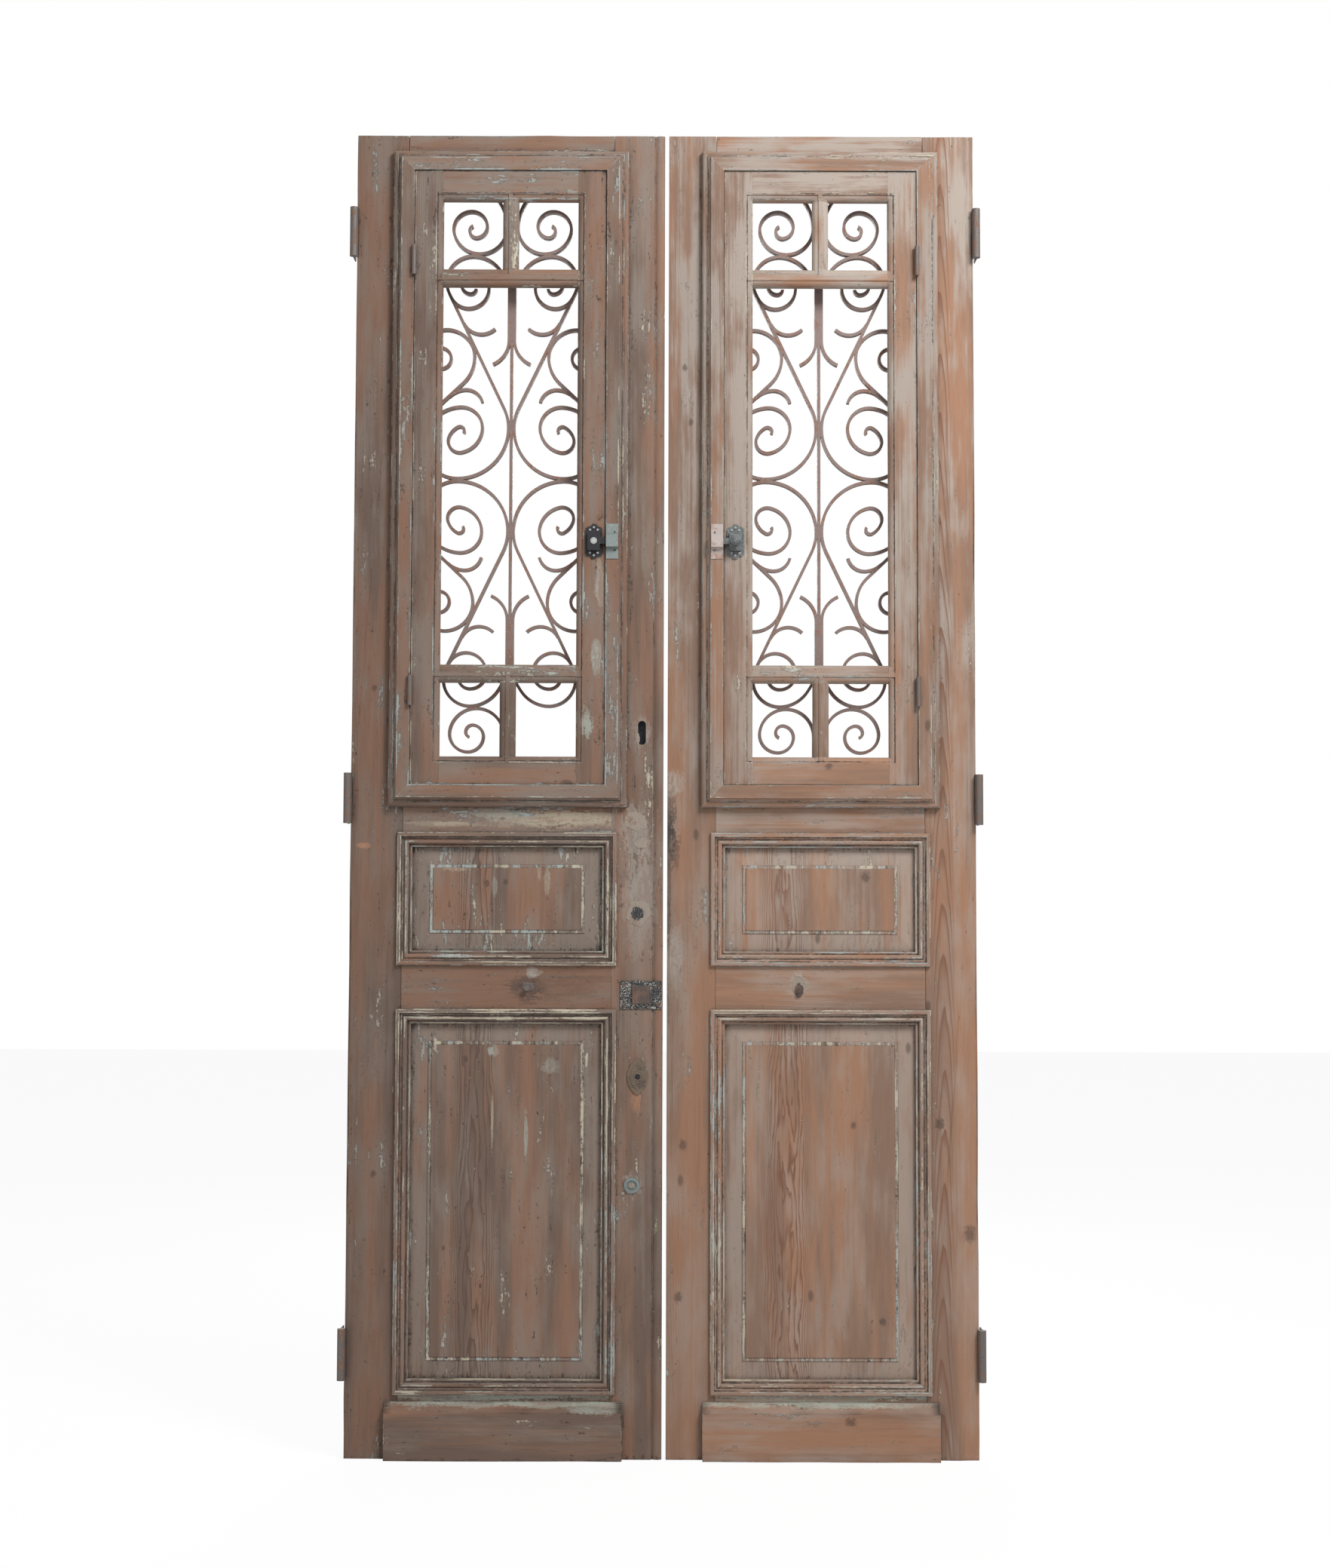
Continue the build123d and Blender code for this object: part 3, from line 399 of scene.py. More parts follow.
@dataclass(frozen=True)
class Timber:
    """Old pine, stripped by hand of most of its paint.

    Attributes:
        warm: The bare wood where it is sanded clean.
        cool: The weathered wood.
        late: The dark lines of the growth rings.
        haze: The thin wash that was left in the pores.
        residue: How much of the old paint is left, from nought to one.
        soot: How much dark grime there is.
        hazed: How much of the wash there is.
        hazed_upward: How much more of it there is towards the top.
        cream: The old cream paint.
        chalk: The older blue paint.
        dirt_and_shade: The grime in corners, cracks and knots, and also the painted shade in corners and on
            whole boards.
        depth: How far the grain and the paint stand up.
    """

    warm: Colour
    cool: Colour
    late: Colour
    haze: Colour
    residue: float
    soot: float
    hazed: float
    hazed_upward: float
    cream: Colour = shown(178, 169, 149)
    chalk: Colour = shown(150, 158, 155)
    # Also the colour of the painted shade.
    dirt_and_shade: Colour = shown(50, 38, 32)
    depth: float = 1.1 * MM

    def dressed(self, board: Board) -> bpy.types.Material:
        """Makes the material of one board.

        Args:
            board: The board that it goes on.

        Returns:
            The material.
        """
        graph = Graph(board.name + "_timber")
        x, y, z = graph.place()
        across, along = self.directions(board, x, z)

        def streaked(wide: float, long: float, detail: float, rough: float = 0.55) -> Amount:
            """Noise that is drawn out along the grain, in lumps to a metre across and along it."""
            sideways = across * wide + board.seed * 3.7
            vector = graph.joined(sideways, y * wide * 0.5, along * long + board.seed)
            return graph.noise(vector, 1, detail, rough)

        broad = streaked(15, 1.2, 4, 0.6)
        strand = streaked(150, 2.6, 4, 0.68)
        fibre = streaked(620, 18, 2, 0.6)
        lumps = streaked(26, 7, 4, 0.62)
        ragged = graph.noise(graph.joined(x, y + board.seed, z), 150, 5, 0.7)
        knot = self.knots(graph, board, across, along, ragged)

        rings = board.figure
        offset = across - rings.heart + (streaked(7, 1.3, 2) - 0.5) * 0.04
        phase = offset * offset * rings.narrow + along * rings.climb + knot * 1.4
        phase = phase + (streaked(32, 4.5, 3) - 0.5) * rings.wild
        ring = phase.fraction().rise(0.25, 1.0) ** 2.4
        arches = ring * abs(offset).rise(rings.reach * 1.35, rings.reach * 0.8) * rings.strength

        colour = graph.mix(broad.rise(0.4, 0.6), self.cool, self.warm)
        colour = graph.mix(strand.rise(0.5, 0.72) * 0.42, colour, self.late)
        colour = graph.mix(fibre.rise(0.5, 0.75) * 0.22, colour, self.late)
        margin, ledge = self.sunk(board, y)
        ridge = self.lines(graph, board, board.ridges, x, z)
        groove = self.lines(graph, board, board.grooves, x, z)
        cloud = streaked(15, 4.6, 3, 0.5)
        wash = cloud * 0.4 + lumps * 0.3 + strand * 0.3 + margin * 0.08 + board.painted * 0.022
        wash = wash.rise(0.455, 0.61)
        wash = wash * (self.hazed + z.rise(0.6, 2.1) * self.hazed_upward + margin * 0.2)
        colour = graph.mix(wash, colour, self.haze)
        colour = graph.mix(arches, colour, self.late)
        colour = graph.mix(knot * 0.8, colour, self.dirt_and_shade)

        corner = graph.corners(14 * MM)
        edge = graph.edges(2.4 * MM).rise(0.03, 0.25)
        flecks = streaked(80, 12, 6, 0.74) * 0.66 + ragged * 0.34
        extra = board.painted * 0.02 + ledge * 0.1 + ridge * 0.085
        kept = flecks + edge * (0.09 + board.painted * 0.016) + corner * 0.05
        kept = kept + margin * 0.03 + (lumps - 0.5) * 0.4 + extra
        level = 0.7 - self.residue * 0.1
        paint = kept.rise(level, level + 0.02)
        rim = kept.rise(level - 0.03, level - 0.004) * (1 - paint)
        coat = graph.mix(broad.rise(0.44, 0.56), self.cream, self.chalk)
        coat = graph.mix(ragged.rise(0.46, 0.68) * 0.55, coat, self.haze)
        colour = graph.mix(rim * 0.4, colour, self.dirt_and_shade)
        colour = graph.mix(paint * 0.8, colour, coat)

        grime = streaked(120, 15, 6, 0.76) * 0.62 + ragged * 0.38 + corner * 0.16
        grime = grime + edge * 0.05 + ledge * 0.05 + groove * 0.12
        black = 0.7 - self.soot * 0.08
        dirty = grime.rise(black, black + 0.03)
        colour = graph.mix(dirty * 0.85, colour, self.dirt_and_shade)
        # Painted shade with some grime: darker in corners and between parts, as far as the occlusion
        # reaches.
        colour = graph.mix(corner.rise(0.3, 0.85) * 0.6, colour, self.dirt_and_shade)
        # Painted shade: the whole board darkened by its listed share.
        colour = graph.mix(board.painted_shade, colour, self.dirt_and_shade)
        room_side = y.rise(6 * MM, -8 * MM)
        broken = room_side * (0.4 + flecks.rise(0.44, 0.54) * 0.6)
        for mark in board.marks:
            side = (x - mark.x) / mark.half_wide
            rise = (z - mark.z) / mark.half_high
            away = (side * side + rise * rise).root() + (flecks - 0.5) * 5.5 + (lumps - 0.5) * 1.6
            colour = graph.mix(away.rise(1.15, 0.85) * broken * mark.strength, colour, mark.colour)
        height = strand * 0.3 + fibre * 0.16 + paint * 0.45
        height = height - dirty * 0.4 - arches * 0.25 - knot * 0.3
        rough = 0.74 - paint * 0.12 + strand * 0.1
        return graph.finish(colour, rough, height, self.depth)

    @staticmethod
    def sunk(board: Board, y: Amount) -> "tuple[Amount | float, Amount | float]":
        """How far a point is on a panel's sunk margin, and on the narrow ledge round its field."""
        if not board.raised:
            return 0.0, 0.0
        depth = board.raised - abs(y - board.middle.y)
        margin = depth.rise(0.4 * MM, 1.2 * MM)
        return margin, margin * depth.rise(2.6 * MM, 1.9 * MM)

    @staticmethod
    def lines(
        graph: Graph, board: Board, places: tuple[float, ...], x: Amount, z: Amount
    ) -> "Amount | float":
        """Narrow lines that run round a frame.

        Args:
            graph: The material's tree.
            board: The board or frame.
            places: How far in from the border each line runs, in millimetres.
            x: The point across.
            z: The point's height.

        Returns:
            One on a line and nought between.
        """
        middle, half = board.middle, board.half
        drawn: "Amount | float" = 0.0
        if places:
            sideways = half.x - abs(x - middle.x)
            inward = graph.math("MINIMUM", sideways, half.z - abs(z - middle.z))
        for place in places:
            drawn = abs(inward - place * MM).rise(2.0 * MM, 0.6 * MM).most(drawn)
        return drawn

    @staticmethod
    def directions(board: Board, x: Amount, z: Amount) -> tuple[Amount, Amount]:
        """Across and along the grain at a point of a board."""
        if board.grain is Grain.UPRIGHT:
            return x, z
        if board.grain is Grain.LEVEL:
            return z, x
        middle, half = board.middle, board.half
        if board.grain is Grain.FRAMED:
            upright = (abs(x - middle.x) - half.x) > (abs(z - middle.z) - half.z)
        else:
            centre, apart, reach = board.bars
            upright = abs(abs(z - centre) - apart) > reach
        return z + (x - z) * upright, x + (z - x) * upright

    @staticmethod
    def knots(graph: Graph, board: Board, across: Amount, along: Amount, ragged: Amount) -> Amount:
        """Where knots are, some by chance and some by place.

        Args:
            graph: The material's tree.
            board: The board.
            across: The point across the grain.
            along: The point along it.
            ragged: A fine noise that breaks up the outline of a knot.

        Returns:
            One in the middle of a knot and nought outside.
        """
        vector = graph.joined(across * 4.3 + board.seed * 5.1, along * 2.1 + board.seed, 0.0)
        sockets = {"Vector": vector, "Scale": 1.0}
        cells = graph.node("ShaderNodeTexVoronoi", {"voronoi_dimensions": "2D"}, sockets)
        parts = graph.node("ShaderNodeSeparateColor", None, {0: cells.outputs["Color"]})
        chance = Amount(graph, parts.outputs[0])
        knot = Amount(graph, cells.outputs["Distance"]).rise(0.032, 0.012) * (chance > 0.7) * 0.7
        for knot_across, knot_along, radius in board.knots:
            side = (across - knot_across) / radius
            length = (along - knot_along) / (radius * 1.3)
            away = (side * side + length * length).root() + (ragged - 0.5) * 2.0
            knot = knot.most(away.rise(1.25, 0.4) * 0.75)
        return knot


@dataclass(frozen=True)
class Iron:
    """Old iron or other metal, with rust, pale specks and pits.

    Attributes:
        bare: The main colour.
        rust: The colour in the rusted patches.
        speck: The colour of old paint and dust on it.
        rusted: How much rust there is.
        specked: How many specks there are.
        metal: How metallic the bare colour is.
        depth: How far the rust and the pits stand up.
    """

    bare: Colour
    rust: Colour
    speck: Colour
    rusted: float
    specked: float
    metal: float
    depth: float = 0.6 * MM

    def dressed(self, name: str, seed: float = 0.0) -> bpy.types.Material:
        """Makes the material.

        Args:
            name: The piece's name.
            seed: Moves the pattern.

        Returns:
            The material.
        """
        graph = Graph(name + "_metal")
        x, y, z = graph.place()
        vector = graph.joined(x + seed, y, z)
        patch = graph.noise(vector, 38, 5, 0.65)
        grit = graph.noise(vector, 420, 4, 0.7)
        pits = graph.noise(vector, 1100, 3, 0.6)
        level = 0.62 - self.rusted * 0.2
        rusty = (patch * 0.7 + grit * 0.3).rise(level, level + 0.1)
        level = 0.66 - self.specked * 0.14
        dusty = (grit * 0.75 + patch * 0.25).rise(level, level + 0.06)
        colour = graph.mix(rusty, self.bare, self.rust)
        colour = graph.mix(dusty * 0.8, colour, self.speck)
        edge = graph.edges(1.2 * MM).rise(0.05, 0.4)
        colour = graph.mix(edge * 0.25, colour, self.speck)
        metal = (1 - rusty) * (1 - dusty) * self.metal
        rough = 0.55 + rusty * 0.25 + dusty * 0.1
        return graph.finish(colour, rough, grit * 0.6 + pits * 0.4, self.depth, metal)


LEFT_PINE = Timber(
    warm=shown(121, 89, 70),
    cool=shown(92, 74, 63),
    late=shown(72, 52, 42),
    haze=shown(118, 107, 98),
    residue=0.8,
    soot=1.3,
    hazed=0.58,
    hazed_upward=0.25,
)
RIGHT_PINE = Timber(
    warm=shown(141, 104, 80),
    cool=shown(118, 93, 77),
    late=shown(104, 68, 49),
    haze=shown(148, 136, 126),
    residue=0.6,
    soot=0.9,
    hazed=0.5,
    hazed_upward=0.7,
)
GRILLE_IRON = Iron(shown(112, 94, 88), shown(116, 84, 70), shown(172, 160, 152), 0.6, 0.55, 0.1)
BLACK_IRON = Iron(shown(28, 28, 32), shown(58, 46, 42), shown(140, 138, 134), 0.15, 0.15, 0.45)
WORN_LATCH = Iron(shown(82, 86, 86), shown(76, 66, 60), shown(156, 162, 162), 0.35, 0.8, 0.3)
BRIGHT_STEEL = Iron(shown(158, 160, 158), shown(120, 108, 98), shown(196, 196, 192), 0.1, 0.6, 0.2)
FLAKED_IRON = Iron(shown(32, 30, 32), shown(64, 52, 46), shown(170, 168, 160), 0.35, 0.95, 0.2)
BROWN_IRON = Iron(shown(70, 58, 52), shown(96, 72, 60), shown(140, 126, 114), 0.8, 0.5, 0.2)
HINGE_IRON = Iron(shown(92, 84, 80), shown(104, 76, 60), shown(150, 140, 130), 0.6, 0.5, 0.25)
ZINC = Iron(shown(112, 121, 119), shown(112, 106, 96), shown(176, 178, 172), 0.25, 0.6, 0.3)
PAINTED_STRIP = Iron(shown(162, 150, 145), shown(140, 106, 90), shown(188, 184, 180), 0.45, 0.6, 0.05)
BRONZE = Iron(shown(98, 84, 70), shown(70, 58, 48), shown(134, 128, 116), 0.5, 0.45, 0.3)
FILLER = Iron(shown(130, 118, 106), shown(114, 94, 80), shown(160, 152, 142), 0.5, 0.7, 0.0)
BLUE_PAINT = shown(154, 162, 152)
RAW_WOOD = shown(150, 108, 82)
SOOT = shown(58, 46, 40)
CHAR = shown(34, 28, 26)
OLD_PAINT = shown(150, 146, 138)
OLD_CREAM = shown(158, 149, 130)


FACING_ROOM = Matrix.Rotation(math.radians(90), 4, "X")


def spot(x: float, y: float, z: float) -> Vector:
    """A point given in millimetres."""
    return Vector((x, y, z)) * MM


class Piece:
    """A new piece while it is being made."""

    def __init__(self, name: str) -> None:
        """Starts an empty piece."""
        self.name = name
        self.shape = bmesh.new()

    def place(self, made: Shape, place: Vector, turn: float = 0.0) -> None:
        """Adds a shape that was made facing up, so that it faces the room.

        Args:
            made: The shape, which is used up.
            place: Where its middle goes.
            turn: How far it is turned in its own plane, in degrees.
        """
        matrix = Matrix.Translation(place) @ FACING_ROOM @ Matrix.Rotation(math.radians(turn), 4, "Z")
        bmesh.ops.transform(made, matrix=matrix, verts=made.verts)
        passing = bpy.data.meshes.new("passing")
        made.to_mesh(passing)
        made.free()
        self.shape.from_mesh(passing)
        bpy.data.meshes.remove(passing)

    def done(self, body: str, finish: Iron, seed: float = 0.0) -> None:
        """Ends the piece and hangs it on its body.

        Args:
            body: The CAD body that it moves with.
            finish: Its metal or filler.
            seed: Moves the finish's pattern.
        """
        bmesh.ops.remove_doubles(self.shape, verts=self.shape.verts, dist=0.002 * MM)
        bmesh.ops.recalc_face_normals(self.shape, faces=self.shape.faces)
        mesh = bpy.data.meshes.new(self.name)
        self.shape.to_mesh(mesh)
        self.shape.free()
        mesh.materials.append(finish.dressed(self.name, seed))
        piece = bpy.data.objects.new(self.name, mesh)
        bpy.context.scene.collection.objects.link(piece)
        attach(piece, body)
        LOG.info("%s: %d faces", self.name, len(mesh.polygons))


def drum(low: float, high: float, height: float, segments: int, edge: float = 0.0) -> Shape:
    """A low round block that stands on its middle, facing up.

    Args:
        low: The radius of its foot, in millimetres.
        high: The radius of its top.
        height: How high it stands.
        segments: How many sides it has.
        edge: The size of the bevel round its top, or nought.

    Returns:
        The shape.
    """
    made = bmesh.new()
    sizes = {"radius1": low * MM, "radius2": high * MM, "depth": height * MM}
    bmesh.ops.create_cone(made, cap_ends=True, segments=segments, **sizes)
    bmesh.ops.translate(made, verts=made.verts, vec=(0, 0, height * MM / 2))
    if edge:
        rim = [line for line in made.edges if min(end.co.z for end in line.verts) > height * MM * 0.9]
        shaped = {"offset": edge * MM, "segments": 2, "profile": 0.5}
        bmesh.ops.bevel(made, geom=rim, affect="EDGES", material=-1, **shaped)
    return made


def slotted_head(radius: float, height: float, slot: float) -> Shape:
    """A screw head with its slot, facing up.

    Args:
        radius: Its radius in millimetres.
        height: How high it stands.
        slot: Half the width of its slot.

    Returns:
        The shape.
    """
    made = drum(radius, radius * 0.86, height, 16, 0.4)
    for side in (-slot, slot):
        every = [*made.verts, *made.edges, *made.faces]
        bmesh.ops.bisect_plane(made, geom=every, plane_co=(side * MM, 0, 0), plane_no=(1, 0, 0))
    top = [face for face in made.faces if face.calc_center_median().z > height * MM * 0.95]
    floor = min(top, key=lambda face: face.calc_center_median().xy.length)
    bmesh.ops.inset_region(made, faces=[floor], thickness=0.12 * MM)
    bmesh.ops.translate(made, verts=floor.verts, vec=(0, 0, -height * MM * 0.6))
    return made


def hoop(radius: float, thickness: float, lift: float = 0.0) -> Shape:
    """A ring of round wire, lying flat.

    Args:
        radius: From its middle to the wire's middle, in millimetres.
        thickness: The wire's radius.
        lift: How far the wire's middle stands up.

    Returns:
        The shape.
    """
    made = bmesh.new()
    bmesh.ops.create_circle(made, segments=8, radius=thickness * MM)
    bmesh.ops.rotate(made, verts=made.verts, matrix=Matrix.Rotation(math.radians(90), 3, "X"))
    bmesh.ops.translate(made, verts=made.verts, vec=(radius * MM, 0, lift * MM))
    around = {"cent": (0, 0, 0), "axis": (0, 0, 1), "angle": 2 * math.pi, "steps": 28}
    bmesh.ops.spin(made, geom=[*made.verts, *made.edges], use_merge=True, **around)
    bmesh.ops.recalc_face_normals(made, faces=made.faces)
    return made


def lump(wide: float, high: float, proud: float, seed: int, hollow: float = 0.0) -> Shape:
    """A ragged smear of filler or a splintered scar, facing up.

    Args:
        wide: Half its width in millimetres.
        high: Half its height.
        proud: How far it stands up.
        seed: Draws its outline.
        hollow: How deep its middle sinks below its rim.

    Returns:
        The shape.
    """
    draw = random.Random(seed)
    made = bmesh.new()
    bmesh.ops.create_circle(made, cap_ends=True, segments=26, radius=MM)
    for corner in made.verts:
        reach = draw.uniform(0.8, 1.08)
        corner.co.x *= wide * reach
        corner.co.y *= high * reach
    raised = bmesh.ops.extrude_face_region(made, geom=made.faces[:])
    upper = [part for part in raised["geom"] if isinstance(part, bmesh.types.BMVert)]
    bmesh.ops.translate(made, verts=upper, vec=(0, 0, proud * MM))
    top = [face for face in made.faces if face.calc_center_median().z > proud * MM * 0.9]
    for inset in (0.08, 0.2):
        bmesh.ops.inset_region(made, faces=top, thickness=min(wide, high) * inset * MM)
    for corner in top[0].verts:
        corner.co.z += (draw.uniform(-0.3, 0.3) * proud - hollow) * MM
    return made


# For each frame, how far in from its border its ridges and then its grooves run, in millimetres.
MOULDING_LINES = ((1.2, 7.2, 18.0, 28.0), (9.4, 13.6, 24.0))
CASING_LINES = ((1.2, 10.0, 19.0, 43.0), (12.6,))
SASH_LINES = ((1.0, 43.6, 55.8), (45.8,))
PROFILE_LINES = {
    "large_panel_mouldings": MOULDING_LINES,
    "small_panel_mouldings": MOULDING_LINES,
    "casing_stiles": CASING_LINES,
    "casing_rails": CASING_LINES,
    "sash_stiles": SASH_LINES,
    "sash_rails": SASH_LINES,
}
# How finely the parts with a worn outline are divided.
WAVE_LEVELS = {"hinge_stile": 3, "top_rail": 4, "kick_board": 4}


@dataclass
class Leaf:
    """One door leaf: its timber, its grille and its hinges."""

    side: Side
    pine: Timber
    nodes: dict[str, bpy.types.Object]
    seed: float
    figures: dict[str, Figure]
    knots: dict[str, tuple[tuple[float, float, float], ...]]
    marks: dict[str, tuple[Mark, ...]]
    # Painted shade on whole boards, by part.
    painted_shades: dict[str, float]
    worn_edge: float = 1.1 * MM
    field_stand: float = 13.0 * MM
    wave: float = 3.2 * MM
    wave_length: float = 110 * MM
    level_part: float = 0.62
    body: str = field(init=False)

    def __post_init__(self) -> None:
        """Names the body that the leaf's pieces ride on."""
        self.body = self.side.value + "_leaf"

    def node(self, part: str) -> bpy.types.Object:
        """The CAD node of a part of this leaf."""
        return self.nodes[f"{self.side.value}_{part}"]

    def dress(self) -> None:
        """Gives the leaf's timber nodes, its grille and its hinges their finishes."""
        kinds = {
            "hinge_stile": (Grain.UPRIGHT, 0.0),
            "lock_stile": (Grain.UPRIGHT, 0.6),
            "bottom_rail": (Grain.LEVEL, 1.0),
            "lock_rail": (Grain.LEVEL, -0.3),
            "sill_rail": (Grain.LEVEL, 2.2),
            "top_rail": (Grain.LEVEL, 0.2),
            "large_panel": (Grain.UPRIGHT, 0.2),
            "small_panel": (Grain.UPRIGHT, 0.5),
            "large_panel_mouldings": (Grain.FRAMED, 3.0),
            "small_panel_mouldings": (Grain.FRAMED, 3.0),
            "casing_stiles": (Grain.UPRIGHT, 1.2),
            "casing_rails": (Grain.LEVEL, 1.4),
            "sash_stiles": (Grain.UPRIGHT, 0.9),
            "sash_rails": (Grain.LEVEL, 1.1),
            "sash_bars": (Grain.BARRED, 2.4),
            "kick_board": (Grain.LEVEL, 0.6),
        }
        for number, (part, (grain, painted)) in enumerate(kinds.items()):
            node = self.node(part)
            low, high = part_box(node.name)
            if part == "sash_rails":
                low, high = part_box(self.node("sash_stiles").name)
            board = Board(
                node.name,
                grain,
                low,
                high,
                self.seed + number * 1.37,
                self.figures.get(part, Figure(low.x - 0.05)),
                painted,
                self.bars(),
                self.field_stand if part.endswith("panel") else 0.0,
                self.painted_shades.get(part, 0.0),
                *PROFILE_LINES.get(part, ((), ())),
                self.knots.get(part, ()),
                self.marks.get(part, ()),
            )
            self.coat(node, self.pine.dressed(board))
            self.wear(node, WAVE_LEVELS.get(part, 0))
        self.coat(self.node("grille"), GRILLE_IRON.dressed(self.body + "_grille", self.seed))
        hinge_iron = HINGE_IRON.dressed(self.body + "_hinge", self.seed)
        for part in ("door_hinges", "jamb_hinges", "sash_hinges"):
            self.coat(self.node(part), hinge_iron)
        LOG.info("%s leaf: dressed", self.side.value)

    def bars(self) -> tuple[float, float, float]:
        """Finds the sash's level bars, the transoms.

        Returns:
            The mid-height between them, how far each is from it, and half a transom.
        """
        low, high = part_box(f"{self.side.value}_sash_bars")
        small_below = 147 * MM
        small_above = 139 * MM
        transom = 36 * MM
        lower = low.z + small_below + transom / 2
        upper = high.z - small_above - transom / 2
        return (lower + upper) / 2, (upper - lower) / 2, transom / 2

    @staticmethod
    def coat(node: bpy.types.Object, material: bpy.types.Material) -> None:
        """Puts one material on the whole of a node."""
        node.data.materials.clear()
        node.data.materials.append(material)

    def wear(self, node: bpy.types.Object, levels: int) -> None:
        """Rounds a node's sharp edges a little, as wear does.

        Args:
            node: The CAD node.
            levels: How finely it is divided to wear its outline to long waves, or nought for no waves.
        """
        weld = node.modifiers.new("weld", "WELD")
        weld.merge_threshold = 0.01 * MM
        worn = node.modifiers.new("worn_edges", "BEVEL")
        worn.width = self.worn_edge
        worn.segments = 2
        worn.limit_method = "ANGLE"
        worn.angle_limit = math.radians(35)
        if not levels:
            return
        waves = bpy.data.textures.new(node.name + "_waves", "CLOUDS")
        waves.noise_scale = self.wave_length
        finer = node.modifiers.new("finer", "SUBSURF")
        finer.subdivision_type = "SIMPLE"
        finer.levels = finer.render_levels = levels
        moved = node.modifiers.new("worn_outline", "DISPLACE")
        moved.texture = waves
        moved.strength = self.wave
        moved.mid_level = self.level_part


# Each screw's place from the middle of its plate, across and up, in millimetres.
LATCH_SCREWS = ((0, 28), (0, -28), (-7.5, 23), (7.5, 23), (-7.5, -23), (7.5, -23))
KNOB_PLATE_SCREWS = ((-34, 20), (34, 20), (-34, -20), (34, -20))
KEEPER_SCREWS = (-18, 18)


@dataclass
class SashLatch:
    """A casement's turn latch: its screws, its spindle and its keeper's screws, in millimetres."""

    leaf: Leaf
    across: float
    keeper_across: float
    iron: Iron
    strip: Iron
    bare_spindle: bool = False
    height: float = 1602.0
    plate_face: float = -42.0
    keeper_face: float = -43.2

    def build(self) -> None:
        """Dresses the latch and its keeper and adds their small pieces."""
        leaf = self.leaf
        side = leaf.side.value
        leaf.coat(leaf.node("latch"), self.iron.dressed(f"{side}_latch", leaf.seed))
        leaf.coat(leaf.node("latch_keeper"), self.strip.dressed(f"{side}_keeper", leaf.seed))
        screws = Piece(f"{side}_latch_screws")
        for number, (right, up) in enumerate(LATCH_SCREWS):
            place = spot(self.across + right, self.plate_face, self.height + up)
            screws.place(slotted_head(2.4, 1.2, 0.4), place, number * 37)
        screws.done(leaf.body, BRIGHT_STEEL)
        if self.bare_spindle:
            self.spindle()
        holding = Piece(f"{side}_keeper_screws")
        for number, up in enumerate(KEEPER_SCREWS):
            place = spot(self.keeper_across, self.keeper_face, self.height + up)
            holding.place(slotted_head(3.0, 1.3, 0.5), place, 20 + number * 65)
        holding.done(leaf.body, self.strip, 3.0)

    def spindle(self) -> None:
        """The bright end of the spindle, where the knob is lost."""
        case_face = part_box(self.leaf.node("latch").name)[0].y / MM
        end = Piece(f"{self.leaf.side.value}_latch_spindle")
        end.place(drum(5.2, 4.8, 0.9, 20, 0.3), spot(self.across, case_face, self.height))
        end.place(hoop(6.0, 0.7), spot(self.across, case_face, self.height))
        end.done(self.leaf.body, BRIGHT_STEEL, 3.0)


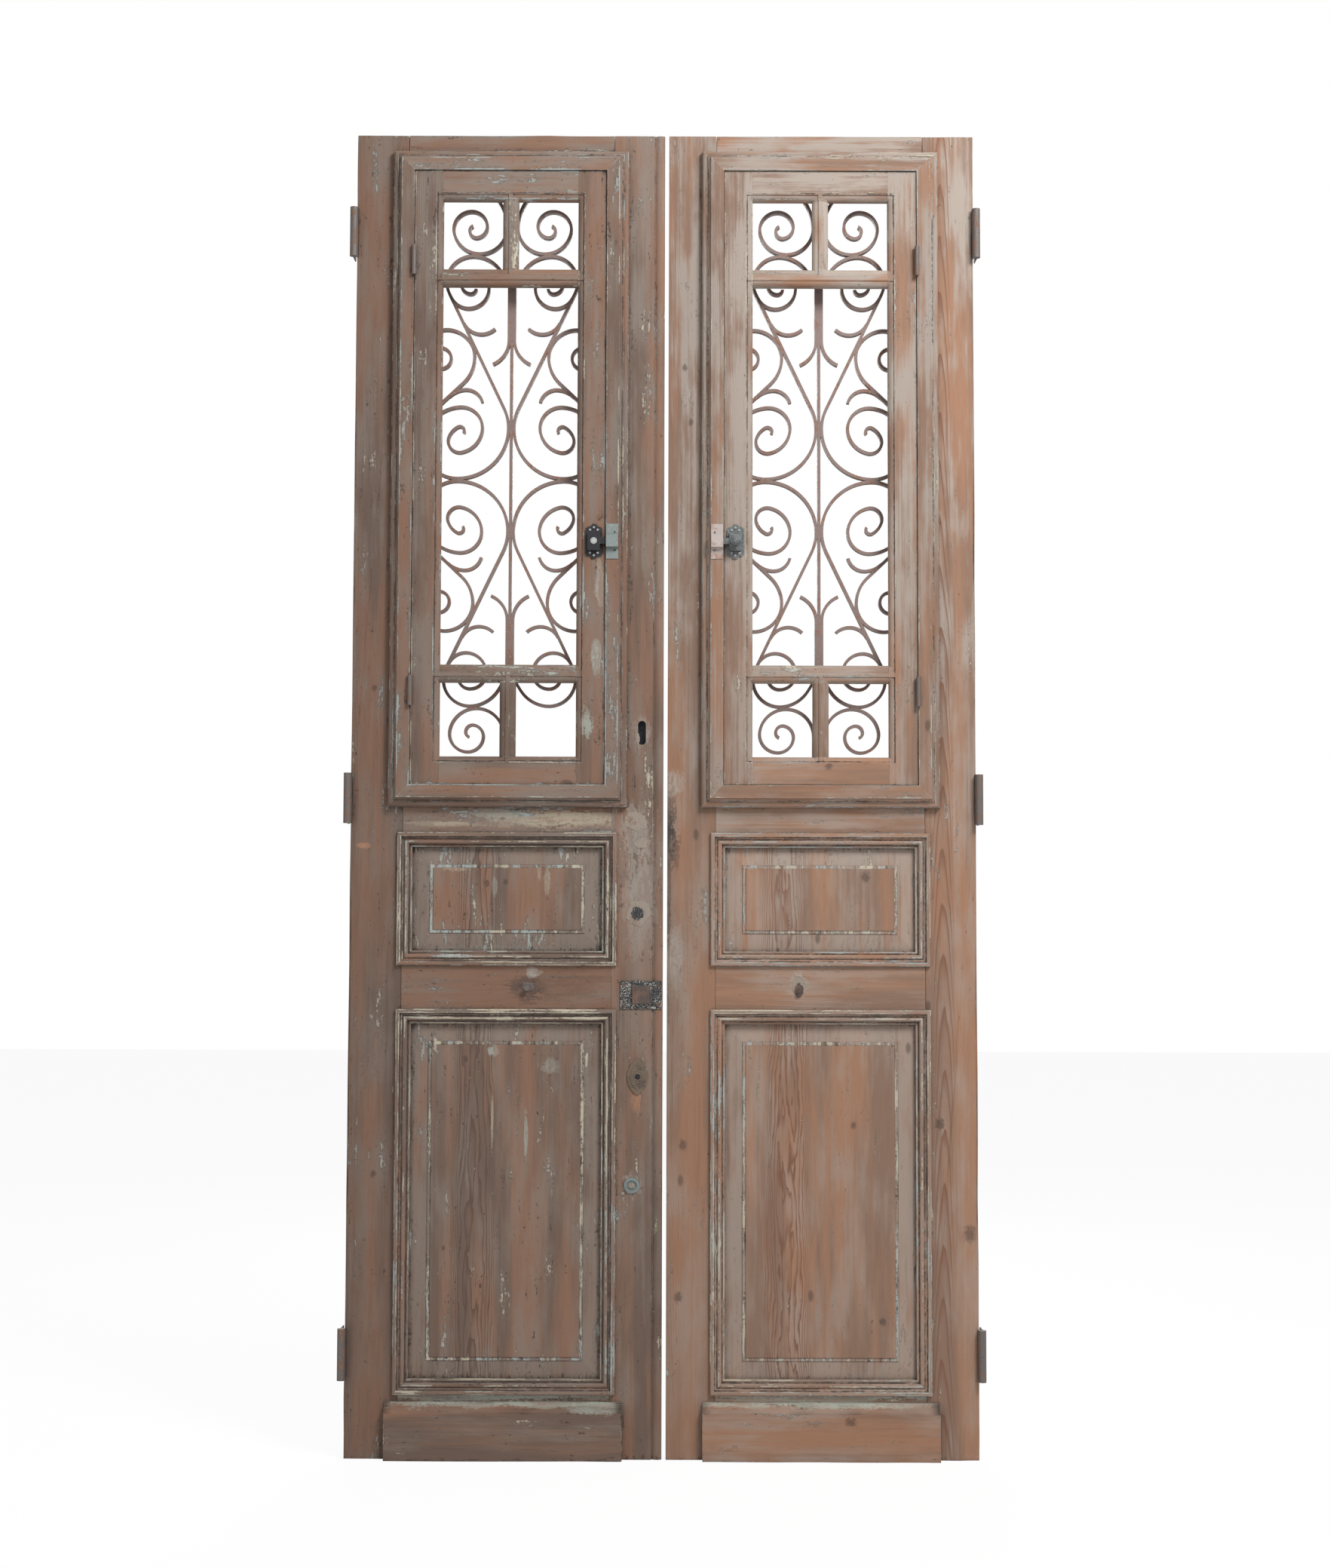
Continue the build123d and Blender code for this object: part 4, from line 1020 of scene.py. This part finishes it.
@dataclass
class LockFurniture:
    """The old lock's plates on the left leaf and the strike plate on the right one, in millimetres."""

    nodes: dict[str, bpy.types.Object]
    body: str = "left_leaf"
    timber_face: float = -15.0
    knob_plate_thick: float = 2.5
    keyhole_across: float = 586.5
    keyhole_height: float = 1222.0
    keyhole_reach: float = 16.0
    ward_face: float = -1.9
    pin_height: float = 1232.0

    def build(self) -> None:
        """Gives the plates their metals and adds their screws, rings and hub."""
        finishes = {
            "left_knob_plate": FLAKED_IRON,
            "left_key_escutcheon": BRONZE,
            "left_cylinder_lock": ZINC,
            "right_strike_plate": HINGE_IRON,
        }
        for name, finish in finishes.items():
            Leaf.coat(self.nodes[name], finish.dressed(name))
        self.knob_plate()
        self.escutcheon()
        self.cylinder()
        self.keyhole()
        LOG.info("lock furniture: dressed")

    @staticmethod
    def front_of(name: str) -> Vector:
        """Finds where a small piece sits on a plate.

        Args:
            name: The plate's node.

        Returns:
            The middle of the plate's front.
        """
        low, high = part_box(name)
        middle = (low + high) / 2
        return Vector((middle.x, low.y, middle.z))

    def knob_plate(self) -> None:
        """The four screws of the knob's plate and the rusty cap on its square hub."""
        hub = self.front_of("left_knob_plate")
        plate = Vector((hub.x, (self.timber_face - self.knob_plate_thick) * MM, hub.z))
        screws = Piece("left_knob_plate_screws")
        for number, (right, up) in enumerate(KNOB_PLATE_SCREWS):
            screws.place(slotted_head(4.0, 1.5, 0.55), plate + spot(right, 0, up), 15 + number * 50)
        screws.done(self.body, BROWN_IRON)
        cap = Piece("left_knob_hub_cap")
        cap.place(drum(25.5, 24.0, 1.6, 4, 0.6), hub + spot(0, 0.3, 0), 45)
        cap.done(self.body, BROWN_IRON)

    def escutcheon(self) -> None:
        """The two rings on the escutcheon, and a black disc of painted shade in its keyhole."""
        face = self.front_of("left_key_escutcheon")
        rings = Piece("left_escutcheon_rings")
        rings.place(hoop(11.5, 0.9), face)
        rings.place(hoop(7.0, 1.1, 0.3), face)
        rings.done(self.body, BRONZE, 2.0)
        # A black disc of painted shade where the keyhole opens.
        hole_shade = Piece("left_escutcheon_hole_shade")
        hole_shade.place(drum(4.2, 3.8, 0.7, 16, 0.2), face)
        hole_shade.done(self.body, BLACK_IRON)

    def cylinder(self) -> None:
        """The worn plug in the middle of the second lock's ring."""
        face = self.front_of("left_cylinder_lock")
        plug = Piece("left_cylinder_plug")
        plug.place(slotted_head(6.0, 1.6, 0.9), face, 8)
        plug.done(self.body, FILLER)
        rim = Piece("left_cylinder_rim")
        rim.place(hoop(11.0, 1.2), face)
        rim.done(self.body, ZINC, 4.0)

    def keyhole(self) -> None:
        """A black plate of painted shade for the inside of the mortise lock, seen through its keyhole, with
        the key's pin.
        """
        # The plate behind the keyhole is black as painted shade for the lock's inside.
        shade_and_pin = Piece("left_keyhole_shade_and_pin")
        plate = drum(7.9, 7.9, 2.0, 22)
        for corner in plate.verts:
            corner.co.y += math.copysign(self.keyhole_reach * MM, corner.co.y)
        shade_and_pin.place(plate, spot(self.keyhole_across, 0, self.keyhole_height))
        pin = spot(self.keyhole_across, self.ward_face, self.pin_height)
        shade_and_pin.place(drum(2.2, 1.8, 6.0, 12, 0.4), pin)
        shade_and_pin.place(drum(4.4, 4.4, 1.2, 14, 0.3), pin)
        shade_and_pin.done(self.body, BLACK_IRON, 5.0)


# Each smear's middle across and up, half its width and height, how proud it is, and its seed.
FILLER_SMEARS = (
    (575, 1046, 24, 20, 0.6, 11),
    (588, 1002, 17, 11, 0.7, 12),
    (580, 863, 25, 27, 0.7, 13),
    (578.5, 1210, 3.6, 13, 0.6, 21),
)


@dataclass
class OldFixings:
    """Broken hooks, nails, filler and scars that were left on the timber, in millimetres."""

    front: float = -15.0
    left_hook: tuple[float, float] = (361, 715)
    right_hook: tuple[float, float] = (899, 706)
    nail: tuple[float, float] = (505.5, 1652)
    nail_foot: float = -39.0
    nail_bend: float = -47.3
    plugged_hole: tuple[float, float] = (579, 863)

    def build(self) -> None:
        """Makes each of them."""
        self.left_stub()
        self.right_stub()
        self.bent_nail()
        self.fillings()

    def left_stub(self) -> None:
        """A broken iron hook in the left lock rail, on its rough backing."""
        across, height = self.left_hook
        stub = Piece("left_hook_stub")
        stub.place(lump(13, 10, 1.2, 3), spot(across + 2, self.front, height + 3))
        stub.place(drum(5.2, 4.4, 13, 10, 1.0), spot(across, self.front, height))
        stub.place(drum(6.4, 5.8, 3.0, 10, 0.8), spot(across, self.front - 11, height))
        stub.done("left_leaf", HINGE_IRON)

    def right_stub(self) -> None:
        """A broken iron hook in a dug-out place in the right lock rail."""
        across, height = self.right_hook
        dug = Piece("right_hook_hollow")
        dug.place(lump(14, 19, 0.9, 5, 0.6), spot(across, self.front, height + 16))
        dug.done("right_leaf", FILLER)
        stub = Piece("right_hook_stub")
        stub.place(lump(9, 14, 1.8, 6, 0.4), spot(across, self.front, height + 6))
        stub.place(drum(6.8, 5.6, 6.0, 10, 1.2), spot(across, self.front, height))
        stub.place(drum(3.6, 3.0, 9.0, 9, 0.6), spot(across, self.front, height + 3))
        stub.done("right_leaf", BROWN_IRON)

    def bent_nail(self) -> None:
        """A bent nail above the left latch."""
        across, height = self.nail
        nail = Piece("left_bent_nail")
        nail.place(drum(1.3, 1.1, 9.0, 8), spot(across, self.nail_foot, height))
        shank = drum(1.1, 0.7, 14.0, 8, 0.2)
        bmesh.ops.rotate(shank, verts=shank.verts, matrix=Matrix.Rotation(math.radians(-78), 3, "X"))
        nail.place(shank, spot(across, self.nail_bend, height))
        nail.done("left_leaf", BROWN_IRON)

    def fillings(self) -> None:
        """The smears of old filler, and the plug in the hole under the lowest big one."""
        filler = Piece("left_filler_smears")
        for across, height, *shape in FILLER_SMEARS:
            filler.place(lump(*shape), spot(across, self.front, height))
        filler.done("left_leaf", FILLER)
        across, height = self.plugged_hole
        plug = Piece("left_hole_plug")
        plug.place(lump(13, 14, 0.9, 14, 0.4), spot(across, self.front - 0.5, height))
        plug.done("left_leaf", FLAKED_IRON, 7.0)


# Each light's name, its place in millimetres, the side of its square in metres, and its watts.
LIGHTS = (
    ("key_light", (2600, -2700, 4100), 1.4, 225),
    ("fill_light", (-2400, -3800, 1500), 2.6, 42),
    ("rim_light", (400, 3200, 3000), 2.4, 100),
)


@dataclass
class Studio:
    """A white floor and backdrop, soft lights, and the camera where the photograph was taken."""

    floor_level: float
    camera_place: Vector = field(default_factory=lambda: spot(633.5, -4495, 846))
    pitch_up: float = 3.5
    roll: float = -0.17
    lens: float = 51.8
    ambient: float = 0.33
    sensor: float = 36
    floor_half: float = 14
    floor_middle: float = 600 * MM
    floor_grey: float = 0.86
    floor_glow: float = 0.93
    lit_place: Vector = field(default_factory=lambda: spot(630, 0, 1100))

    def build(self) -> None:
        """Makes the stage."""
        self.make_camera()
        self.make_floor()
        self.make_world()
        for name, place, size, power in LIGHTS:
            self.make_light(name, spot(*place), size, power)
        LOG.info("studio: built")

    def make_camera(self) -> None:
        """Places the camera."""
        data = bpy.data.cameras.new("camera")
        data.sensor_width = self.sensor
        data.lens = self.lens
        camera = bpy.data.objects.new("camera", data)
        turn = Matrix.Rotation(math.radians(90 + self.pitch_up), 4, "X")
        lean = Matrix.Rotation(math.radians(self.roll), 4, "Y")
        camera.matrix_world = Matrix.Translation(self.camera_place) @ lean @ turn
        bpy.context.scene.collection.objects.link(camera)
        bpy.context.scene.camera = camera

    def make_floor(self) -> None:
        """Makes the floor, which shows white to the camera and keeps the shadow."""
        shape = bmesh.new()
        bmesh.ops.create_grid(shape, x_segments=1, y_segments=1, size=self.floor_half)
        bmesh.ops.translate(shape, verts=shape.verts, vec=(self.floor_middle, 0, self.floor_level))
        mesh = bpy.data.meshes.new("floor")
        shape.to_mesh(mesh)
        shape.free()
        floor = bpy.data.objects.new("floor", mesh)
        bpy.context.scene.collection.objects.link(floor)
        graph = Graph("floor_white")
        grey = (self.floor_grey, self.floor_grey, self.floor_grey, 1)
        matt = graph.node("ShaderNodeBsdfDiffuse", None, {"Color": grey})
        glow = graph.node("ShaderNodeEmission", None, {"Strength": 1.0})
        seen = Amount(graph, graph.node("ShaderNodeLightPath").outputs["Is Camera Ray"])
        sockets = {0: seen * self.floor_glow, 1: matt.outputs[0], 2: glow.outputs[0]}
        mixed = graph.node("ShaderNodeMixShader", None, sockets)
        graph.node("ShaderNodeOutputMaterial", None, {0: mixed.outputs[0]})
        mesh.materials.append(graph.material)

    def make_world(self) -> None:
        """Makes the world: white to look at, softer as a light."""
        world = bpy.data.worlds.new("white")
        bpy.context.scene.world = world
        graph = Graph("world_white", world)
        path = graph.node("ShaderNodeLightPath").outputs
        seen = Amount(graph, path["Is Camera Ray"])
        for ray in ("Is Glossy Ray", "Is Transmission Ray"):
            seen = seen.most(Amount(graph, path[ray]))
        strength = self.ambient + seen * (1 - self.ambient)
        back = graph.node("ShaderNodeBackground", None, {"Color": (1, 1, 1, 1), "Strength": strength})
        graph.node("ShaderNodeOutputWorld", None, {0: back.outputs[0]})

    def make_light(self, name: str, place: Vector, size: float, power: float) -> None:
        """Makes a soft square light that points at the middle of the door.

        Args:
            name: Its name.
            place: Where it stands.
            size: The side of its square, in metres.
            power: Its power in watts.
        """
        data = bpy.data.lights.new(name, "AREA")
        data.size = size
        data.energy = power
        light = bpy.data.objects.new(name, data)
        turn = (self.lit_place - place).to_track_quat("-Z", "Y")
        light.matrix_world = Matrix.Translation(place) @ turn.to_matrix().to_4x4()
        bpy.context.scene.collection.objects.link(light)


LEFT_FIGURES = {
    "large_panel": Figure(0.256, 0.8, 3000, 2.4, 5.0, 0.04),
    "small_panel": Figure(0.262, 0.8, 3400, 4.0, 3.0, 0.04),
}
RIGHT_FIGURES = {
    "large_panel": Figure(0.878, 0.95, 3200, 2.2, 6.5, 0.042),
    "small_panel": Figure(0.868, 0.75, 3200, 3.0, 5.0, 0.04),
    "hinge_stile": Figure(1.184, 0.85, 4800, 9.0, 1.2, 0.018),
}
LEFT_KNOTS = {
    "large_panel": ((0.2393, 0.5738, 0.005), (0.1987, 0.204, 0.004)),
    "small_panel": ((0.278, 0.922, 0.006), (0.316, 0.925, 0.005)),
    "hinge_stile": ((0.052, 1.31, 0.006), (0.06, 0.35, 0.006)),
}
RIGHT_KNOTS = {
    "kick_board": ((-0.126, 0.999, 0.009),),
    "hinge_stile": ((1.1766, 0.4506, 0.009), (1.235, 0.236, 0.014)),
    "small_panel": ((1.032, 0.936, 0.009),),
    "large_panel": ((1.0066, 0.446, 0.006), (1.064, 0.063, 0.007)),
    "lock_stile": (
        (0.6696, 1.959, 0.006),
        (0.6816, 1.848, 0.006),
        (0.6696, 0.407, 0.009),
        (0.662, 0.111, 0.009),
    ),
    "sash_rails": ((1.154, 0.957, 0.007),),
}
# Painted shade on whole boards of the left leaf, by part.
LEFT_PAINTED_SHADES = {
    "hinge_stile": 0.24,
    "casing_stiles": 0.14,
    "sash_stiles": 0.1,
    "lock_rail": 0.16,
    "sill_rail": 0.05,
}
# Painted shade on whole boards of the right leaf, by part.
RIGHT_PAINTED_SHADES = {
    "lock_stile": 0.16,
    "casing_stiles": 0.16,
    "casing_rails": 0.08,
    "sash_stiles": 0.06,
    "large_panel": 0.05,
    "kick_board": 0.06,
}
LEFT_MARKS = {
    "hinge_stile": (Mark(0.034, 0.996, 0.013, 0.006, RAW_WOOD, 0.8),),
    "lock_rail": (
        Mark(0.363, 0.716, 0.03, 0.024, SOOT, 0.75),
        Mark(0.42, 0.72, 0.07, 0.03, SOOT, 0.35),
        Mark(0.372, 0.745, 0.014, 0.01, OLD_PAINT, 0.7),
    ),
    "kick_board": (
        Mark(0.33, -0.09, 0.24, 0.009, BLUE_PAINT, 0.7),
        Mark(0.5, -0.1, 0.05, 0.014, BLUE_PAINT, 0.5),
    ),
    "bottom_rail": (Mark(0.3, -0.08, 0.26, 0.009, BLUE_PAINT, 0.6),),
    "sill_rail": (
        Mark(0.42, 1.05, 0.11, 0.016, OLD_CREAM, 0.75),
        Mark(0.3, 1.06, 0.07, 0.01, BLUE_PAINT, 0.6),
        Mark(0.2, 1.04, 0.06, 0.005, OLD_CREAM, 0.6),
    ),
    "sash_stiles": (
        Mark(0.497, 1.37, 0.011, 0.03, BLUE_PAINT, 0.6),
        Mark(0.479, 1.235, 0.012, 0.028, BLUE_PAINT, 0.6),
        Mark(0.5, 1.52, 0.007, 0.04, BLUE_PAINT, 0.5),
    ),
    "small_panel": (
        Mark(0.4, 0.93, 0.005, 0.022, OLD_CREAM, 0.7),
        Mark(0.383, 0.945, 0.003, 0.014, OLD_CREAM, 0.6),
        Mark(0.295, 0.915, 0.005, 0.014, BLUE_PAINT, 0.6),
        Mark(0.218, 0.95, 0.03, 0.004, OLD_CREAM, 0.6),
        Mark(0.3, 0.79, 0.14, 0.008, BLUE_PAINT, 0.5),
        Mark(0.3, 0.995, 0.17, 0.007, OLD_CREAM, 0.5),
    ),
    "large_panel": (
        Mark(0.293, 0.59, 0.009, 0.009, BLUE_PAINT, 0.6),
        Mark(0.293, 0.455, 0.0025, 0.045, OLD_CREAM, 0.7),
        Mark(0.405, 0.56, 0.02, 0.014, BLUE_PAINT, 0.35),
        Mark(0.32, 0.645, 0.13, 0.007, OLD_CREAM, 0.5),
        Mark(0.36, 0.42, 0.004, 0.04, BLUE_PAINT, 0.5),
    ),
    "lock_stile": (
        Mark(0.582, 0.9, 0.03, 0.09, OLD_PAINT, 0.45),
        Mark(0.575, 1.02, 0.034, 0.06, OLD_PAINT, 0.5),
        Mark(0.586, 1.222, 0.014, 0.03, OLD_PAINT, 0.6),
        Mark(0.569, 0.3285, 0.02, 0.022, OLD_PAINT, 0.6),
        Mark(0.58, 0.5, 0.012, 0.03, RAW_WOOD, 0.6),
    ),
}
RIGHT_MARKS = {
    "kick_board": (Mark(0.94, -0.09, 0.24, 0.011, BLUE_PAINT, 0.8),),
    "bottom_rail": (Mark(0.94, -0.08, 0.25, 0.01, BLUE_PAINT, 0.75),),
    "lock_rail": (Mark(0.899, 0.728, 0.02, 0.024, OLD_PAINT, 0.6),),
    "lock_stile": (
        Mark(0.639, 1.02, 0.019, 0.066, CHAR, 0.95),
        Mark(0.64, 0.9, 0.006, 0.16, SOOT, 0.8),
        Mark(0.646, 1.12, 0.022, 0.02, OLD_PAINT, 0.7),
        Mark(0.655, 0.78, 0.016, 0.06, OLD_PAINT, 0.5),
    ),
}


def main() -> None:
    """Builds the looks around the frame, in order."""
    logging.basicConfig(level=logging.INFO, format="%(name)s: %(message)s")
    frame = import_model()
    nodes = frame["nodes"]
    floor_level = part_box("left_hinge_stile")[0].z
    left = Leaf(Side.LEFT, LEFT_PINE, nodes, 1.0, LEFT_FIGURES, LEFT_KNOTS, LEFT_MARKS, LEFT_PAINTED_SHADES)
    right = Leaf(Side.RIGHT, RIGHT_PINE, nodes, 40.0, RIGHT_FIGURES, RIGHT_KNOTS, RIGHT_MARKS, RIGHT_PAINTED_SHADES)
    for leaf in (left, right):
        leaf.dress()
    SashLatch(left, 489.5, 531, BLACK_IRON, ZINC, bare_spindle=True).build()
    SashLatch(right, 771.5, 730, WORN_LATCH, PAINTED_STRIP).build()
    LockFurniture(nodes).build()
    OldFixings().build()
    Studio(floor_level).build()
    bpy.context.scene.view_settings.view_transform = "Standard"
    LOG.info("sizes written")


if __name__ == "__main__":
    main()
